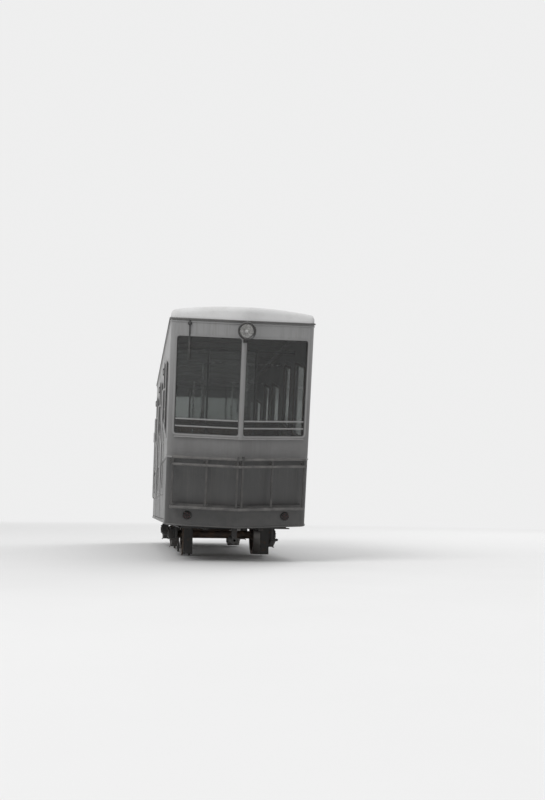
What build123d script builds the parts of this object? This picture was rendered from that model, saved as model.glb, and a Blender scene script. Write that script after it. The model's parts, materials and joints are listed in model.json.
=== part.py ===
from build123d import *
from math import atan, cos, radians, sin, tan
import os

os.makedirs("parts", exist_ok=True)

# A funicular car for a line of steady slope. The track frame has X across, Y down the line and Z square
# to the rails, with the origin midway between the rails and the axles at the foot of the wheel flanges.
# The cabin stands level on the slope, so it is drawn in a level frame, with Y level and Z upright, and
# then turned about X by the slope. Sizes are in millimetres and angles in degrees.

# Line
SLOPE = 12.5
GAUGE = 1000
RAIL_HEAD_W = 56

# Cabin plan
HALF_W = 900
LENGTH = 6500
BOW = 150
CORNER_R = 80
WALL = 45
SEAM = 100

# Compartments, each with a level floor
COMPARTMENTS = 3
END_ROOM = 175
FLOOR_H = 660
FLOOR_T = 40
RISER_T = 30

# Side openings in each compartment, a margin from its uphill and downhill edges, and up from its floor
BAY_SIDE = 150
BAY_W = 720
SILL_UP = 900
HEAD_UP = 1840
PANE_R = 30
GLASS_T = 6
GLASS_IN = 20

# Upright heights about the rail. Along the sides they run with the track, and on the two ends they are
# level, from the seam where the side meets the end.
SKIRT_DROP = 190
PAINT_RISE = 680
HEADER = 130

# End windows, up from the paint line and down from the eave
UPHILL_SILL = 300
DOWNHILL_SILL = 650
END_HEAD_DROP = 200
POST_W = 60
CORNER_POST = 80

# Roof and gutter
GUTTER_T = 22
GUTTER_OUT = 15
ROOF_OUT = 0
ROOF_T = 35
ROOF_SIDE = 95
ROOF_CROWN = 165
ROOF_RIM_R = 65
ROOF_APEX_R = 300

# Side doors, with hinges at the downhill jamb
DOOR_T = 38
DOOR_GAP = 6
STILE = 90
HINGE_OUT = 16
KNUCKLE_R = 11
KNUCKLE_L = 60
PIN_R = 5
PIN_FIT = 0.06
LUG_W = 15
LUG_L = 20
LUG_GAP = 1
LUG_REACH = 20
STRAP_L = 70
STRAP_T = 12
HINGE_UP = (250, 950, 1600)
HANDLE_UP = 1050
HANDLE_L = 180
HANDLE_R = 9
HANDLE_OUT = 45

# Wheelsets
WHEELBASE = 3400
TREAD_R = 280
FLANGE_H = 20
FLANGE_T = 24
FLANGE_SLANT = 7
WHEEL_PLAY = 9
DRUM_W = 200
RIM_T = 45
WEB_T = 24
HUB_R = 80
HUB_CONE = 30
AXLE_R = 55
JOURNAL_R = 45
JOURNAL_FIT = 0.06
JOURNAL_L = 90

# Axle boxes and springs
BOX_X = 645
BOX_L = 110
BOX_W = 200
BOX_H = 190
BOX_R = 25
CAP_R = 72
CAP_T = 18
LEAF_T = 11
LEAF_W = 75
LEAF_RISE = 60
LEAF_L = (760, 640, 520, 400, 280)
BUCKLE_W = 90
BUCKLE_T = 10
HANGER_W = 22

# Underframe
GIRDER_X = 680
GIRDER_W = 60
GIRDER_H = 180
GIRDER_Z = 420
GIRDER_T = 14
TRANSOM_Y = (-2300, -600, 600, 2300)
TRANSOM_W = 90
HORN_W = 30
HORN_DROP = 195
BEARER_T = 16
END_GAP = 15

# Rope sockets, brakes and guards
ROPE_Z = 270
SOCKET_L = 240
SOCKET_BORE_L = 120
SOCKET_FLARE = 22
SOCKET_WALL = 26
HAUL_R = 16
TAIL_R = 11
EAR_T = 30
JAW_GAP = 8
JAW_T = 26
JAW_L = 220
JAW_H = 104
JAW_Z = 6
ARM_L = 60
GUARD_W = 120
GUARD_T = 14
GUARD_UP = 30
UNIT_W = 560
UNIT_H = 240
UNIT_R = 30

# End racks, two rails over a ledge on posts with arms back to the wall
RACK_OUT = 150
RAIL_W = 28
RAIL_H = 34
RAIL_STEP = 90
RACK_RISE = 42
LEDGE_DROP = 628
LEDGE_T = 36
RACK_SIDE = 62
RACK_POST = 24
RACK_POST_X = (32, 410)
ARM_H = 26

# End lamps, wipers and window bars
LAMP_DROP = 99
LAMP_R = 107
LAMP_L = 170
LAMP_REAR_R = 62
DISH_R = 40
DISH_L = 80
LAMP_OUT = 40
RIM_W = 12
RIM_L = 26
NECK_W = 46
NECK_DROP = 150
MARKER_IN = 280
MARKER_UP = 140
MARKER_R = 45
MARKER_L = 35
WIPER_IN = 228
WIPER_W = 16
WIPER_T = 12
WIPER_OUT = 14
WIPER_L = 490
PIVOT_L = 60
BAR_T = 16
BAR_OUT = 3
BAR_UP = (95, 185)

# Inside
FIT = 0.3
NEAR = 1
SEAT_UP = 440
SEAT_DEPTH = 430
SLAT_T = 24
SLAT_W = 58
SLAT_GAP = 12
BACK_UP = 900
BACK_SLATS = 3
LEG_W = 40
SCREEN_UP = 900
POLE_UP = 1750
POLE_R = 16
POLE_X = 330
DESK_W = 500
DESK_DEPTH = 260
DESK_UP = 850
DESK_IN = 235
COLUMN_R = 30
COLUMN_L = 50
HAND_R = 140
HAND_T = 24
SPOKE_W = 22
SPOKES = 3

# Driven values
FOOT = (Align.CENTER, Align.CENTER, Align.MIN)
S = radians(SLOPE)
SWEEP = atan(BOW / HALF_W)
HALF_L = LENGTH / 2
SEAM_Y = HALF_L - SEAM
BIG = 3 * LENGTH
INNER = HALF_W - WALL
PITCH = (LENGTH - 2 * END_ROOM) / COMPARTMENTS
DOOR_Y = PITCH - BAY_SIDE - BAY_W
FIRST = -PITCH * COMPARTMENTS / 2
SKIRT_H = FLOOR_H - SKIRT_DROP
PAINT_H = FLOOR_H + PAINT_RISE
EAVE_H = FLOOR_H + HEAD_UP + (PITCH - BAY_SIDE) * tan(S) + HEADER
ROOF_H = EAVE_H + GUTTER_T
END_PANE_X = HALF_W - CORNER_POST
RACK_X = HALF_W - RACK_SIDE
AXLE_Z = TREAD_R + FLANGE_H
RAIL_X = GAUGE / 2 + RAIL_HEAD_W / 2
GIRDER_TOP = GIRDER_Z + GIRDER_H
FLANGED_W = RAIL_HEAD_W + 2 * (WHEEL_PLAY + FLANGE_T)
END_SILL = {-1: UPHILL_SILL, 1: DOWNHILL_SILL}
ENDS = (("uphill", -1), ("downhill", 1))
SIDES = (("left", -1), ("right", 1))
LEVELS = ("upper", "middle", "lower")


def track_z(height):
    """Track-frame height of a line that runs the given upright height above the rails."""
    return FLANGE_H + height * cos(S)


def level_z(y, height):
    """Level-frame height of a point at level place y, the given upright height above the rails."""
    return FLANGE_H / cos(S) - y * tan(S) + height


def end_z(end, height):
    """Level-frame height that an end keeps, the given upright height above the rail at its seam."""
    return level_z(end * SEAM_Y, height)


def floor_z(k):
    return level_z(FIRST + PITCH * k, FLOOR_H)


def block(x0, x1, y0, y1, z0, z1):
    return Pos((x0 + x1) / 2, (y0 + y1) / 2, (z0 + z1) / 2) * Box(abs(x1 - x0), abs(y1 - y0), abs(z1 - z0))


def slab(low, high):
    """All of the track frame between two upright heights above the rails."""
    return block(-BIG, BIG, -BIG, BIG, track_z(low), track_z(high))


def tilted(shape):
    """Carry a level-frame shape into the track frame."""
    return Rot(SLOPE, 0, 0) * shape


def joined(shapes):
    result = shapes[0]
    for shape in shapes[1:]:
        result = result + shape
    return result


def rounded(box, axis, radius):
    return fillet(box.edges().filter_by(axis), radius)


def crosswise(radius, length):
    """Cylinder that lies along X."""
    return Rot(0, 90, 0) * Cylinder(radius, length)


def outline(inset, apex_r=0):
    """Cabin plan, drawn in by the given amount, with bowed ends and rounded corners."""
    half = HALF_W - inset
    apex = HALF_L + BOW - inset / cos(SWEEP)
    corner = apex - half * tan(SWEEP)
    points = [(half, -corner), (half, corner), (0, apex), (-half, corner), (-half, -corner), (0, -apex)]
    face = make_face(Polyline(*points, close=True))
    face = fillet(face.vertices().filter_by(lambda v: abs(v.X) > half / 2), CORNER_R - inset)
    if apex_r > 0:
        face = fillet(face.vertices().filter_by(lambda v: abs(v.X) < half / 2), apex_r)
    return face


def prism(inset, apex_r=0):
    """Upright column over the cabin plan, in the level frame."""
    return Pos(0, 0, -BIG / 2) * extrude(outline(inset, apex_r), amount=BIG, dir=(0, 0, 1))


def wall_ring(outer, inner):
    return prism(outer) - prism(inner)


def end_zone(end, low, high, x0=-BIG, x1=BIG):
    """Block over an end, past its seam with the sides, between two upright heights."""
    return block(x0, x1, end * SEAM_Y, end * BIG / 4, end_z(end, low), end_z(end, high))


def end_strip(end, inset, depth, low, high, x0, x1):
    """Strip that follows an end's bow, between two upright heights and two places across."""
    return wall_ring(inset, inset + depth) & end_zone(end, low, high, x0, x1)


def end_face(end, x, z):
    """Plane on an end's outer face at x, looking outwards, in the level frame."""
    side = 1 if x > 0 else -1
    y = end * (HALF_L + BOW - abs(x) * tan(SWEEP))
    return Plane(origin=(x, y, z), x_dir=(0, 0, 1), z_dir=(side * sin(SWEEP), end * cos(SWEEP), 0))


def keep(name, shape):
    """Write one named piece, in the track frame."""
    export_step(shape, f"parts/{name}.step")


RING = wall_ring(0, WALL)
PANE_RING = wall_ring(GLASS_IN, GLASS_IN + GLASS_T)


# End walls
def end_windows(end):
    """Cutters for an end's two windows, one each side of the middle post."""
    low = PAINT_H + END_SILL[end]
    high = EAVE_H - END_HEAD_DROP
    half = POST_W / 2
    zones = (end_zone(end, low, high, half, END_PANE_X), end_zone(end, low, high, -END_PANE_X, -half))
    return [rounded(zone, Axis.Y, PANE_R) for zone in zones]


def make_ends():
    for name, end in ENDS:
        right, left = end_windows(end)
        keep(f"end_{name}_lower", tilted(RING & end_zone(end, SKIRT_H, PAINT_H)))
        keep(f"end_{name}_upper", tilted((RING & end_zone(end, PAINT_H, EAVE_H)) - right - left))
        keep(f"end_glass_{name}", tilted((PANE_RING & right) + (PANE_RING & left)))


# Side walls
def bay(k, start):
    y0 = FIRST + PITCH * k + start
    return y0, y0 + BAY_W


def side_window(side, k):
    """Cutter for the fixed window of compartment k."""
    z = floor_z(k)
    y0, y1 = bay(k, BAY_SIDE)
    box = block(side * HALF_W / 2, side * HALF_W * 2, y0, y1, z + SILL_UP, z + HEAD_UP)
    return rounded(box, Axis.X, PANE_R)


def door_window(side, k):
    """Cutter for the pane in the door of compartment k."""
    z = floor_z(k)
    y0, y1 = bay(k, DOOR_Y)
    sides = (side * HALF_W / 2, side * HALF_W * 2)
    box = block(*sides, y0 + STILE, y1 - STILE, z + SILL_UP, z + HEAD_UP - STILE)
    return rounded(box, Axis.X, PANE_R)


def make_sides():
    for name, side in SIDES:
        wall = RING & block(side * HALF_W / 2, side * HALF_W * 2, -SEAM_Y, SEAM_Y, -BIG / 2, BIG / 2)
        panes = []
        for k in range(COMPARTMENTS):
            y0, y1 = bay(k, DOOR_Y)
            z = floor_z(k)
            wall = wall - block(side * HALF_W / 2, side * HALF_W * 2, y0, y1, z, z + HEAD_UP)
            wall = wall - side_window(side, k)
            panes.append(PANE_RING & side_window(side, k))
        wall = tilted(wall)
        keep(f"side_{name}_lower", wall & slab(SKIRT_H, PAINT_H))
        keep(f"side_{name}_upper", wall & slab(PAINT_H, EAVE_H))
        keep(f"side_glass_{name}", tilted(joined(panes)))


# Floors, one step down for each compartment, each with the riser that drops from its downhill edge
def make_floors():
    inside = prism(WALL)
    for k in range(COMPARTMENTS):
        z = floor_z(k)
        y0 = FIRST + PITCH * k - RISER_T if k > 0 else -BIG / 4
        y1 = FIRST + PITCH * (k + 1) if k < COMPARTMENTS - 1 else BIG / 4
        deck = inside & block(-BIG, BIG, y0, y1, z - FLOOR_T, z)
        if k < COMPARTMENTS - 1:
            deck = deck + block(-INNER, INNER, y1 - RISER_T, y1, floor_z(k + 1), z - FLOOR_T)
        keep(f"floor_{LEVELS[k]}", tilted(deck))


# Roof
def roof_section(outset, side_h, crown_h):
    """Shallow arch on upright sides, about the eave's middle."""
    half = HALF_W + outset
    base = Polyline((-half, side_h), (-half, 0), (half, 0), (half, side_h))
    arch = ThreePointArc((half, side_h), (0, crown_h), (-half, side_h))
    return make_face(Curve() + [base, arch])


def roof_run(outset, side_h, crown_h, rim_r):
    """Roof between the seams: one rounded section carried down the slope, in the level frame."""
    section = roof_section(outset, side_h, crown_h)
    section = fillet(section.vertices().filter_by(lambda v: v.Y > side_h / 2), rim_r)
    start = Pos(0, -SEAM_Y, end_z(-1, ROOF_H)) * (Plane.XZ * section)
    return extrude(start, amount=2 * SEAM_Y / cos(S), dir=(0, cos(S), -sin(S)))


def is_rim(edge, base_z, end):
    """True for an edge round the dome's top: off the base, off the seam, and not an upright."""
    points = [edge @ t for t in (0, 0.5, 1)]
    off_base = min(p.Z for p in points) > base_z + NEAR
    off_seam = max(abs(p.Y - end * SEAM_Y) for p in points) > NEAR
    rise = abs(points[2].Z - points[0].Z)
    return off_base and off_seam and rise < 0.6 * edge.length


def roof_dome(end, outset, side_h, crown_h, rim_r):
    """Level end of the roof, cut to the cabin plan, its rim rounded over, in the track frame."""
    section = Plane.XZ * roof_section(outset, side_h, crown_h)
    z = end_z(end, ROOF_H)
    form = Pos(0, end * SEAM_Y, z) * extrude(section, amount=LENGTH, dir=(0, end, 0))
    form = form & prism(-outset, ROOF_APEX_R)
    return tilted(fillet(form.edges().filter_by(lambda e: is_rim(e, z, end)), rim_r))


def make_roof():
    ring = wall_ring(-GUTTER_OUT, WALL)
    run = ring & block(-BIG, BIG, -SEAM_Y, SEAM_Y, -BIG / 2, BIG / 2)
    strips = [tilted(run) & slab(EAVE_H, ROOF_H)]
    strips += [tilted(ring & end_zone(end, EAVE_H, ROOF_H)) for name, end in ENDS]
    keep("gutter", joined(strips))
    outer = (ROOF_OUT, ROOF_SIDE, ROOF_CROWN, ROOF_RIM_R)
    inner = (ROOF_OUT - ROOF_T, ROOF_SIDE - ROOF_T, ROOF_CROWN - ROOF_T, ROOF_RIM_R - ROOF_T)
    keep("roof", tilted(roof_run(*outer) - roof_run(*inner)))
    domes = [roof_dome(end, *outer) - roof_dome(end, *inner) for name, end in ENDS]
    keep("roof_domes", Compound(children=domes))


# Doors and their hinges
def leaf_hinge(side, y, z):
    """Knuckle and strap on the leaf, about an upright axis at y, and the bore for the pin."""
    x = side * (HALF_W + HINGE_OUT)
    half = KNUCKLE_L / 2
    sides = (side * HALF_W, side * (HALF_W + STRAP_T))
    strap = block(*sides, y - STRAP_L, y - DOOR_GAP / 2, z - half, z + half)
    bore = Pos(x, y, z) * Cylinder(PIN_R + PIN_FIT, KNUCKLE_L)
    return Pos(x, y, z) * Cylinder(KNUCKLE_R, KNUCKLE_L) + strap, bore


def wall_hinge(side, y, z):
    """Pin between two square lugs, each on a strap on the wall."""
    x = side * (HALF_W + HINGE_OUT)
    start = KNUCKLE_L / 2 + LUG_GAP
    half = LUG_W / 2
    parts = [Pos(x, y, z) * Cylinder(PIN_R, 2 * start)]
    for near in (-start, start):
        far = near + LUG_L if near > 0 else near - LUG_L
        parts.append(block(x - half, x + half, y - half, y + LUG_REACH, z + near, z + far))
        strap = (side * HALF_W, side * (HALF_W + STRAP_T))
        parts.append(block(*strap, y + DOOR_GAP / 2, y + STRAP_L, z + near, z + far))
    return joined(parts)


def door_handle(side, y, z):
    """Upright bar handle on two feet."""
    handle = Pos(side * (HALF_W + HANDLE_OUT), y, z) * Cylinder(HANDLE_R, HANDLE_L)
    reach = HANDLE_L / 2 - HANDLE_R
    half = HANDLE_R / 2
    for foot in (z - reach, z + reach):
        sides = (side * HALF_W, side * (HALF_W + HANDLE_OUT))
        handle = handle + block(*sides, y - half, y + half, foot - half, foot + half)
    return handle


def make_doors():
    lugs = []
    for name, side in SIDES:
        for k in range(COMPARTMENTS):
            z = floor_z(k)
            y0, y1 = bay(k, DOOR_Y)
            skin = (side * (HALF_W - DOOR_T), side * HALF_W)
            leaf = block(*skin, y0 + DOOR_GAP, y1 - DOOR_GAP, z + DOOR_GAP, z + HEAD_UP - DOOR_GAP)
            leaf = leaf - door_window(side, k)
            for up in HINGE_UP:
                hinge, bore = leaf_hinge(side, y1 - DOOR_GAP / 2, z + up)
                leaf = leaf + hinge - bore
                lugs.append(wall_hinge(side, y1 - DOOR_GAP / 2, z + up))
            leaf = leaf + door_handle(side, y0 + STILE / 2, z + HANDLE_UP)
            keep(f"door_{name}_{LEVELS[k]}", tilted(leaf))
            keep(f"door_glass_{name}_{LEVELS[k]}", tilted(PANE_RING & door_window(side, k)))
    keep("hinge_lugs", tilted(Compound(children=lugs)))


# Wheelsets, turned about X in the track frame
def turned(profile):
    """Solid of revolution about X from points of (x, radius)."""
    return revolve(make_face(Polyline(*profile, close=True)), Axis.X)


def wheel(width, flanged):
    """Wheel with hub, web and rim. The flanged one holds the rail between two flanges."""
    half = width / 2
    web = WEB_T / 2
    rim_in = TREAD_R - RIM_T
    face = [(half, HUB_R), (web, HUB_R + HUB_CONE), (web, rim_in), (half, rim_in)]
    if flanged:
        tread = half - FLANGE_T
        top = TREAD_R + FLANGE_H
        face += [(half, top), (tread + FLANGE_SLANT, top), (tread, TREAD_R)]
    else:
        face += [(half, TREAD_R)]
    back = [(-x, r) for x, r in reversed(face)]
    return turned([(-half, AXLE_R), (half, AXLE_R)] + face + back)


def make_wheelsets():
    for name, end in ENDS:
        y = end * WHEELBASE / 2
        seat = RAIL_X + max(DRUM_W, FLANGED_W) / 2
        tip = BOX_X + JOURNAL_L
        half = [(seat, AXLE_R), (seat, JOURNAL_R), (tip, JOURNAL_R), (tip, 0)]
        axle = turned([(-x, r) for x, r in reversed(half)] + half)
        keep(f"axle_{name}", Pos(0, y, AXLE_Z) * axle)
        keep(f"flanged_wheel_{name}", Pos(-RAIL_X, y, AXLE_Z) * wheel(FLANGED_W, True))
        keep(f"drum_wheel_{name}", Pos(RAIL_X, y, AXLE_Z) * wheel(DRUM_W, False))


# Axle boxes and springs
def make_axle_boxes():
    boxes = []
    for name, side in SIDES:
        for end_name, end in ENDS:
            y = end * WHEELBASE / 2
            x0 = side * BOX_X
            x1 = side * (BOX_X + BOX_L)
            half = BOX_W / 2
            box = block(x0, x1, y - half, y + half, AXLE_Z - BOX_H / 2, AXLE_Z + BOX_H / 2)
            box = rounded(box, Axis.X, BOX_R)
            cap = Pos(x1 + side * CAP_T / 2, y, AXLE_Z) * crosswise(CAP_R, CAP_T)
            depth = JOURNAL_L + FIT
            bore = Pos(x0 + side * depth / 2, y, AXLE_Z) * crosswise(JOURNAL_R + JOURNAL_FIT, depth)
            boxes.append(box + cap - bore)
    keep("axle_boxes", Compound(children=boxes))


def leaf(index, y, z):
    """One arched leaf, a strip between two arcs about one centre, its crown at the bottom."""
    half = LEAF_L[0] / 2
    bend = (half**2 + LEAF_RISE**2) / (2 * LEAF_RISE)
    outer = bend + (index + 1) * LEAF_T
    strip = Circle(outer) - Circle(outer - LEAF_T)
    strip = strip & (Pos(0, -outer) * Rectangle(LEAF_L[index], 4 * LEAF_RISE))
    return Pos(0, y, z + bend) * extrude(Plane.YZ * strip, amount=LEAF_W / 2, both=True)


def make_springs():
    packs = []
    top = AXLE_Z - BOX_H / 2 - BUCKLE_T
    low = top - len(LEAF_L) * LEAF_T - BUCKLE_T
    for name, side in SIDES:
        x = side * (BOX_X + BOX_L / 2)
        hx = side * GIRDER_X
        for end_name, end in ENDS:
            y = end * WHEELBASE / 2
            pack = Pos(x, 0, 0) * joined([leaf(i, y, top) for i in range(len(LEAF_L))])
            half = LEAF_W / 2 + BUCKLE_T
            pack = pack + block(x - half, x + half, y - BUCKLE_W / 2, y + BUCKLE_W / 2, low, top + BUCKLE_T)
            half = HANGER_W / 2
            for way in (-1, 1):
                hy = y + way * (LEAF_L[0] / 2 - HANGER_W)
                foot = top + LEAF_RISE / 2
                pack = pack + block(hx - half, hx + half, hy - half, hy + half, foot, GIRDER_Z)
            packs.append(pack)
    keep("leaf_springs", Compound(children=packs))


# Underframe
def girder_ends():
    """Track-frame ends of the girders, just inside the end walls."""
    uphill = -(HALF_L - WALL) / cos(S) - GIRDER_Z * tan(S) + END_GAP
    downhill = (HALF_L - WALL) / cos(S) - GIRDER_TOP * tan(S) - END_GAP
    return uphill, downhill


def channel(side, y0, y1):
    """Side girder, a channel open outwards."""
    x0 = side * (GIRDER_X - GIRDER_W / 2)
    x1 = side * (GIRDER_X + GIRDER_W / 2)
    beam = block(x0, x1, y0, y1, GIRDER_Z, GIRDER_TOP)
    return beam - block(x0 + side * GIRDER_T, x1, y0, y1, GIRDER_Z + GIRDER_T, GIRDER_TOP - GIRDER_T)


def make_underframe():
    y0, y1 = girder_ends()
    inner = GIRDER_X - GIRDER_W / 2
    beams = []
    for name, side in SIDES:
        beams.append(channel(side, y0, y1))
        sides = (side * inner, side * (GIRDER_X + GIRDER_W / 2))
        for end_name, end in ENDS:
            for way in (-1, 1):
                near = end * WHEELBASE / 2 + way * BOX_W / 2
                beams.append(block(*sides, near, near + way * HORN_W, GIRDER_Z - HORN_DROP, GIRDER_Z))
    for y in (y0 + TRANSOM_W / 2, *TRANSOM_Y, y1 - TRANSOM_W / 2):
        beams.append(block(-inner, inner, y - TRANSOM_W / 2, y + TRANSOM_W / 2, GIRDER_Z, GIRDER_TOP))
    keep("underframe", joined(beams))


def make_body_bearers():
    """Stepped webs that carry the level floors on the sloping girders."""
    y0, y1 = girder_ends()
    webs = []
    for name, side in SIDES:
        x0 = side * GIRDER_X - BEARER_T / 2
        plates = []
        for k in range(COMPARTMENTS):
            a = FIRST + PITCH * k - RISER_T if k > 0 else -HALF_L + WALL
            b = FIRST + PITCH * (k + 1) - RISER_T if k < COMPARTMENTS - 1 else HALF_L - WALL
            plates.append(block(x0, x0 + BEARER_T, a, b, -BIG / 4, floor_z(k) - FLOOR_T))
        webs.append(tilted(joined(plates)) & block(-BIG, BIG, y0, y1, GIRDER_TOP, BIG))
    keep("body_bearers", Compound(children=webs))


# Rope sockets, brakes and guards
def make_rope_sockets():
    """Cast sockets on an ear under each headstock, bored for the rope's end."""
    y0, y1 = girder_ends()
    for name, end, mouth, bore_r in (("haul", -1, y0, HAUL_R), ("tail", 1, y1, TAIL_R)):
        line = Plane(origin=(0, mouth, ROPE_Z), z_dir=(0, -end, 0))
        body = line * Cone(bore_r + SOCKET_WALL, bore_r + SOCKET_WALL + SOCKET_FLARE, SOCKET_L, align=FOOT)
        ear = block(-EAR_T, EAR_T, mouth, mouth - end * TRANSOM_W, ROPE_Z, GIRDER_Z)
        body = body + ear - line * Cylinder(bore_r, SOCKET_BORE_L, align=FOOT)
        keep(f"{name}_rope_socket", body)


def make_rail_brakes():
    """Calipers under the middle transoms, a jaw each side of the rail under the flanged wheels."""
    jaws = []
    for y in (TRANSOM_Y[1], TRANSOM_Y[2]):
        for way in (-1, 1):
            near = -RAIL_X + way * (RAIL_HEAD_W / 2 + JAW_GAP)
            far = near + way * JAW_T
            jaw = block(near, far, y - JAW_L / 2, y + JAW_L / 2, JAW_Z, JAW_Z + JAW_H)
            arm = block(near, far, y - ARM_L / 2, y + ARM_L / 2, JAW_Z + JAW_H, GIRDER_Z)
            jaws.append(jaw + arm)
    keep("rail_brakes", Compound(children=jaws))


def make_under_fittings():
    guards = []
    top = GIRDER_TOP - GIRDER_T
    for y, end in ((TRANSOM_Y[0], -1), (TRANSOM_Y[-1], 1)):
        near = y + end * TRANSOM_W / 2
        for x in (-RAIL_X, RAIL_X):
            sides = (x - GUARD_W / 2, x + GUARD_W / 2)
            guards.append(block(*sides, near, near + end * GUARD_T, FLANGE_H + GUARD_UP, top))
    keep("rail_guards", Compound(children=guards))
    half = TRANSOM_Y[2] - TRANSOM_W / 2
    unit = block(-UNIT_W / 2, UNIT_W / 2, -half, half, top - UNIT_H, top)
    keep("brake_unit", rounded(unit, Axis.Y, UNIT_R))


# End fittings
def make_racks():
    for name, end in ENDS:
        top = PAINT_H + RACK_RISE
        ledge = top - LEDGE_DROP
        arm = top - RAIL_STEP
        pieces = [end_strip(end, -RACK_OUT, RACK_OUT, ledge - LEDGE_T, ledge, -RACK_X, RACK_X)]
        for rail in (top, arm):
            pieces.append(end_strip(end, -RACK_OUT, RAIL_W, rail - RAIL_H, rail, -RACK_X, RACK_X))
        for side in (-1, 1):
            for x in (*RACK_POST_X, RACK_X - RACK_POST / 2):
                post = (side * x - RACK_POST / 2, side * x + RACK_POST / 2)
                pieces.append(end_strip(end, -RACK_OUT, RAIL_W, ledge, top, *post))
                pieces.append(end_strip(end, -RACK_OUT, RACK_OUT, arm - ARM_H, arm, *post))
        keep(f"rack_{name}", tilted(joined(pieces)))


def headlamp(end):
    """Lamp bowl with its dish and rim, on a neck at the middle of an end, and the glass in the rim."""
    apex = end * (HALF_L + BOW)
    z = end_z(end, EAVE_H - LAMP_DROP)
    nose = Plane(origin=(0, apex, z), x_dir=(0, 0, 1), z_dir=(0, end, 0))
    bowl = Pos(0, 0, LAMP_OUT) * Cone(LAMP_REAR_R, LAMP_R, LAMP_L, align=FOOT)
    dish = Cone(DISH_R, LAMP_R - RIM_W, DISH_L, align=FOOT)
    bowl = nose * (bowl - Pos(0, 0, LAMP_OUT + LAMP_L - DISH_L) * dish)
    half = NECK_W / 2
    reach = apex + end * (LAMP_OUT + RIM_L)
    neck = block(-half, half, apex - end * WALL, reach, z - NECK_DROP, z) - prism(0)
    front = nose * Pos(0, 0, LAMP_OUT + LAMP_L)
    rim = Cylinder(LAMP_R, RIM_L, align=FOOT) - Cylinder(LAMP_R - RIM_W, RIM_L, align=FOOT)
    return bowl + neck + front * rim, front * Cylinder(LAMP_R - RIM_W, RIM_L - RIM_W, align=FOOT)


def make_end_lamps():
    lamps = [headlamp(end) for name, end in ENDS]
    keep("headlamps", tilted(Compound(children=[shell for shell, lens in lamps])))
    keep("headlamp_glasses", tilted(Compound(children=[lens for shell, lens in lamps])))
    markers = []
    for name, end in ENDS:
        for x in (MARKER_IN - HALF_W, HALF_W - MARKER_IN):
            spot = end_face(end, x, end_z(end, SKIRT_H + MARKER_UP))
            markers.append(spot * Cylinder(MARKER_R, MARKER_L, align=FOOT))
    keep("marker_lamps", tilted(Compound(children=markers)))


def make_end_trim():
    wipers = []
    bars = []
    for name, end in ENDS:
        x = end * (HALF_W - WIPER_IN)
        sides = (x - WIPER_W / 2, x + WIPER_W / 2)
        wiper = end_strip(end, -WIPER_OUT, WIPER_T, EAVE_H - WIPER_L, EAVE_H, *sides)
        wipers.append(wiper + end_strip(end, -WIPER_OUT, WIPER_OUT, EAVE_H - PIVOT_L, EAVE_H, *sides))
        sill = PAINT_H + END_SILL[end]
        half = BAR_T / 2
        for x0, x1 in ((-END_PANE_X, -POST_W / 2), (POST_W / 2, END_PANE_X)):
            for up in BAR_UP:
                bars.append(end_strip(end, BAR_OUT, BAR_T, sill + up - half, sill + up + half, x0, x1))
    keep("wipers", tilted(Compound(children=wipers)))
    keep("window_bars", tilted(Compound(children=bars)))


# Inside
def bench(k):
    """Slatted bench with its back to the riser at the compartment's uphill edge."""
    z = floor_z(k)
    y = FIRST + PITCH * k + FIT
    seat_z = z + SEAT_UP
    pieces = []
    for i in range(int((SEAT_DEPTH - LEG_W) // (SLAT_W + SLAT_GAP))):
        front = y + SEAT_DEPTH - i * (SLAT_W + SLAT_GAP)
        pieces.append(block(-INNER, INNER, front - SLAT_W, front, seat_z - SLAT_T, seat_z))
    for i in range(BACK_SLATS):
        top = z + BACK_UP - i * (SLAT_W + 3 * SLAT_GAP)
        pieces.append(block(-INNER, INNER, y + LEG_W, y + LEG_W + SLAT_T, top - SLAT_W, top))
    rail_z = seat_z - SLAT_T
    for x in (-INNER + LEG_W / 2, -POLE_X, POLE_X, INNER - LEG_W / 2):
        sides = (x - LEG_W / 2, x + LEG_W / 2)
        pieces.append(block(*sides, y, y + LEG_W, z, z + BACK_UP))
        pieces.append(block(*sides, y, y + SEAT_DEPTH, rail_z - LEG_W, rail_z))
        pieces.append(block(*sides, y + SEAT_DEPTH - 2 * LEG_W, y + SEAT_DEPTH - LEG_W, z, rail_z))
    return joined(pieces)


def make_inside():
    screens = []
    poles = []
    for k in range(1, COMPARTMENTS):
        keep(f"bench_{LEVELS[k]}", tilted(bench(k)))
        y = FIRST + PITCH * k
        top = floor_z(k - 1)
        screens.append(block(-INNER, INNER, y - RISER_T, y, top, top + SCREEN_UP))
        middle = y - RISER_T / 2
        bar = Pos(0, middle, top + POLE_UP) * crosswise(POLE_R, 2 * INNER)
        for x in (-POLE_X, POLE_X):
            post = Cylinder(POLE_R, POLE_UP - SCREEN_UP, align=FOOT)
            bar = bar + Pos(x, middle, top + SCREEN_UP) * post
        poles.append(bar)
    keep("partitions", tilted(Compound(children=screens)))
    keep("grab_poles", tilted(Compound(children=poles)))


def hand_wheel():
    """Brake hand wheel of box section, on its short column."""
    rim = Cylinder(HAND_R, HAND_T) - Cylinder(HAND_R - HAND_T, HAND_T)
    turns = [180 / SPOKES * i for i in range(SPOKES)]
    spokes = [Rot(0, 0, turn) * Box(2 * HAND_R - HAND_T, SPOKE_W, HAND_T / 2) for turn in turns]
    column = Cylinder(COLUMN_R, COLUMN_L + HAND_T / 2, align=FOOT)
    return column + Pos(0, 0, COLUMN_L) * joined([rim] + spokes)


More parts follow.
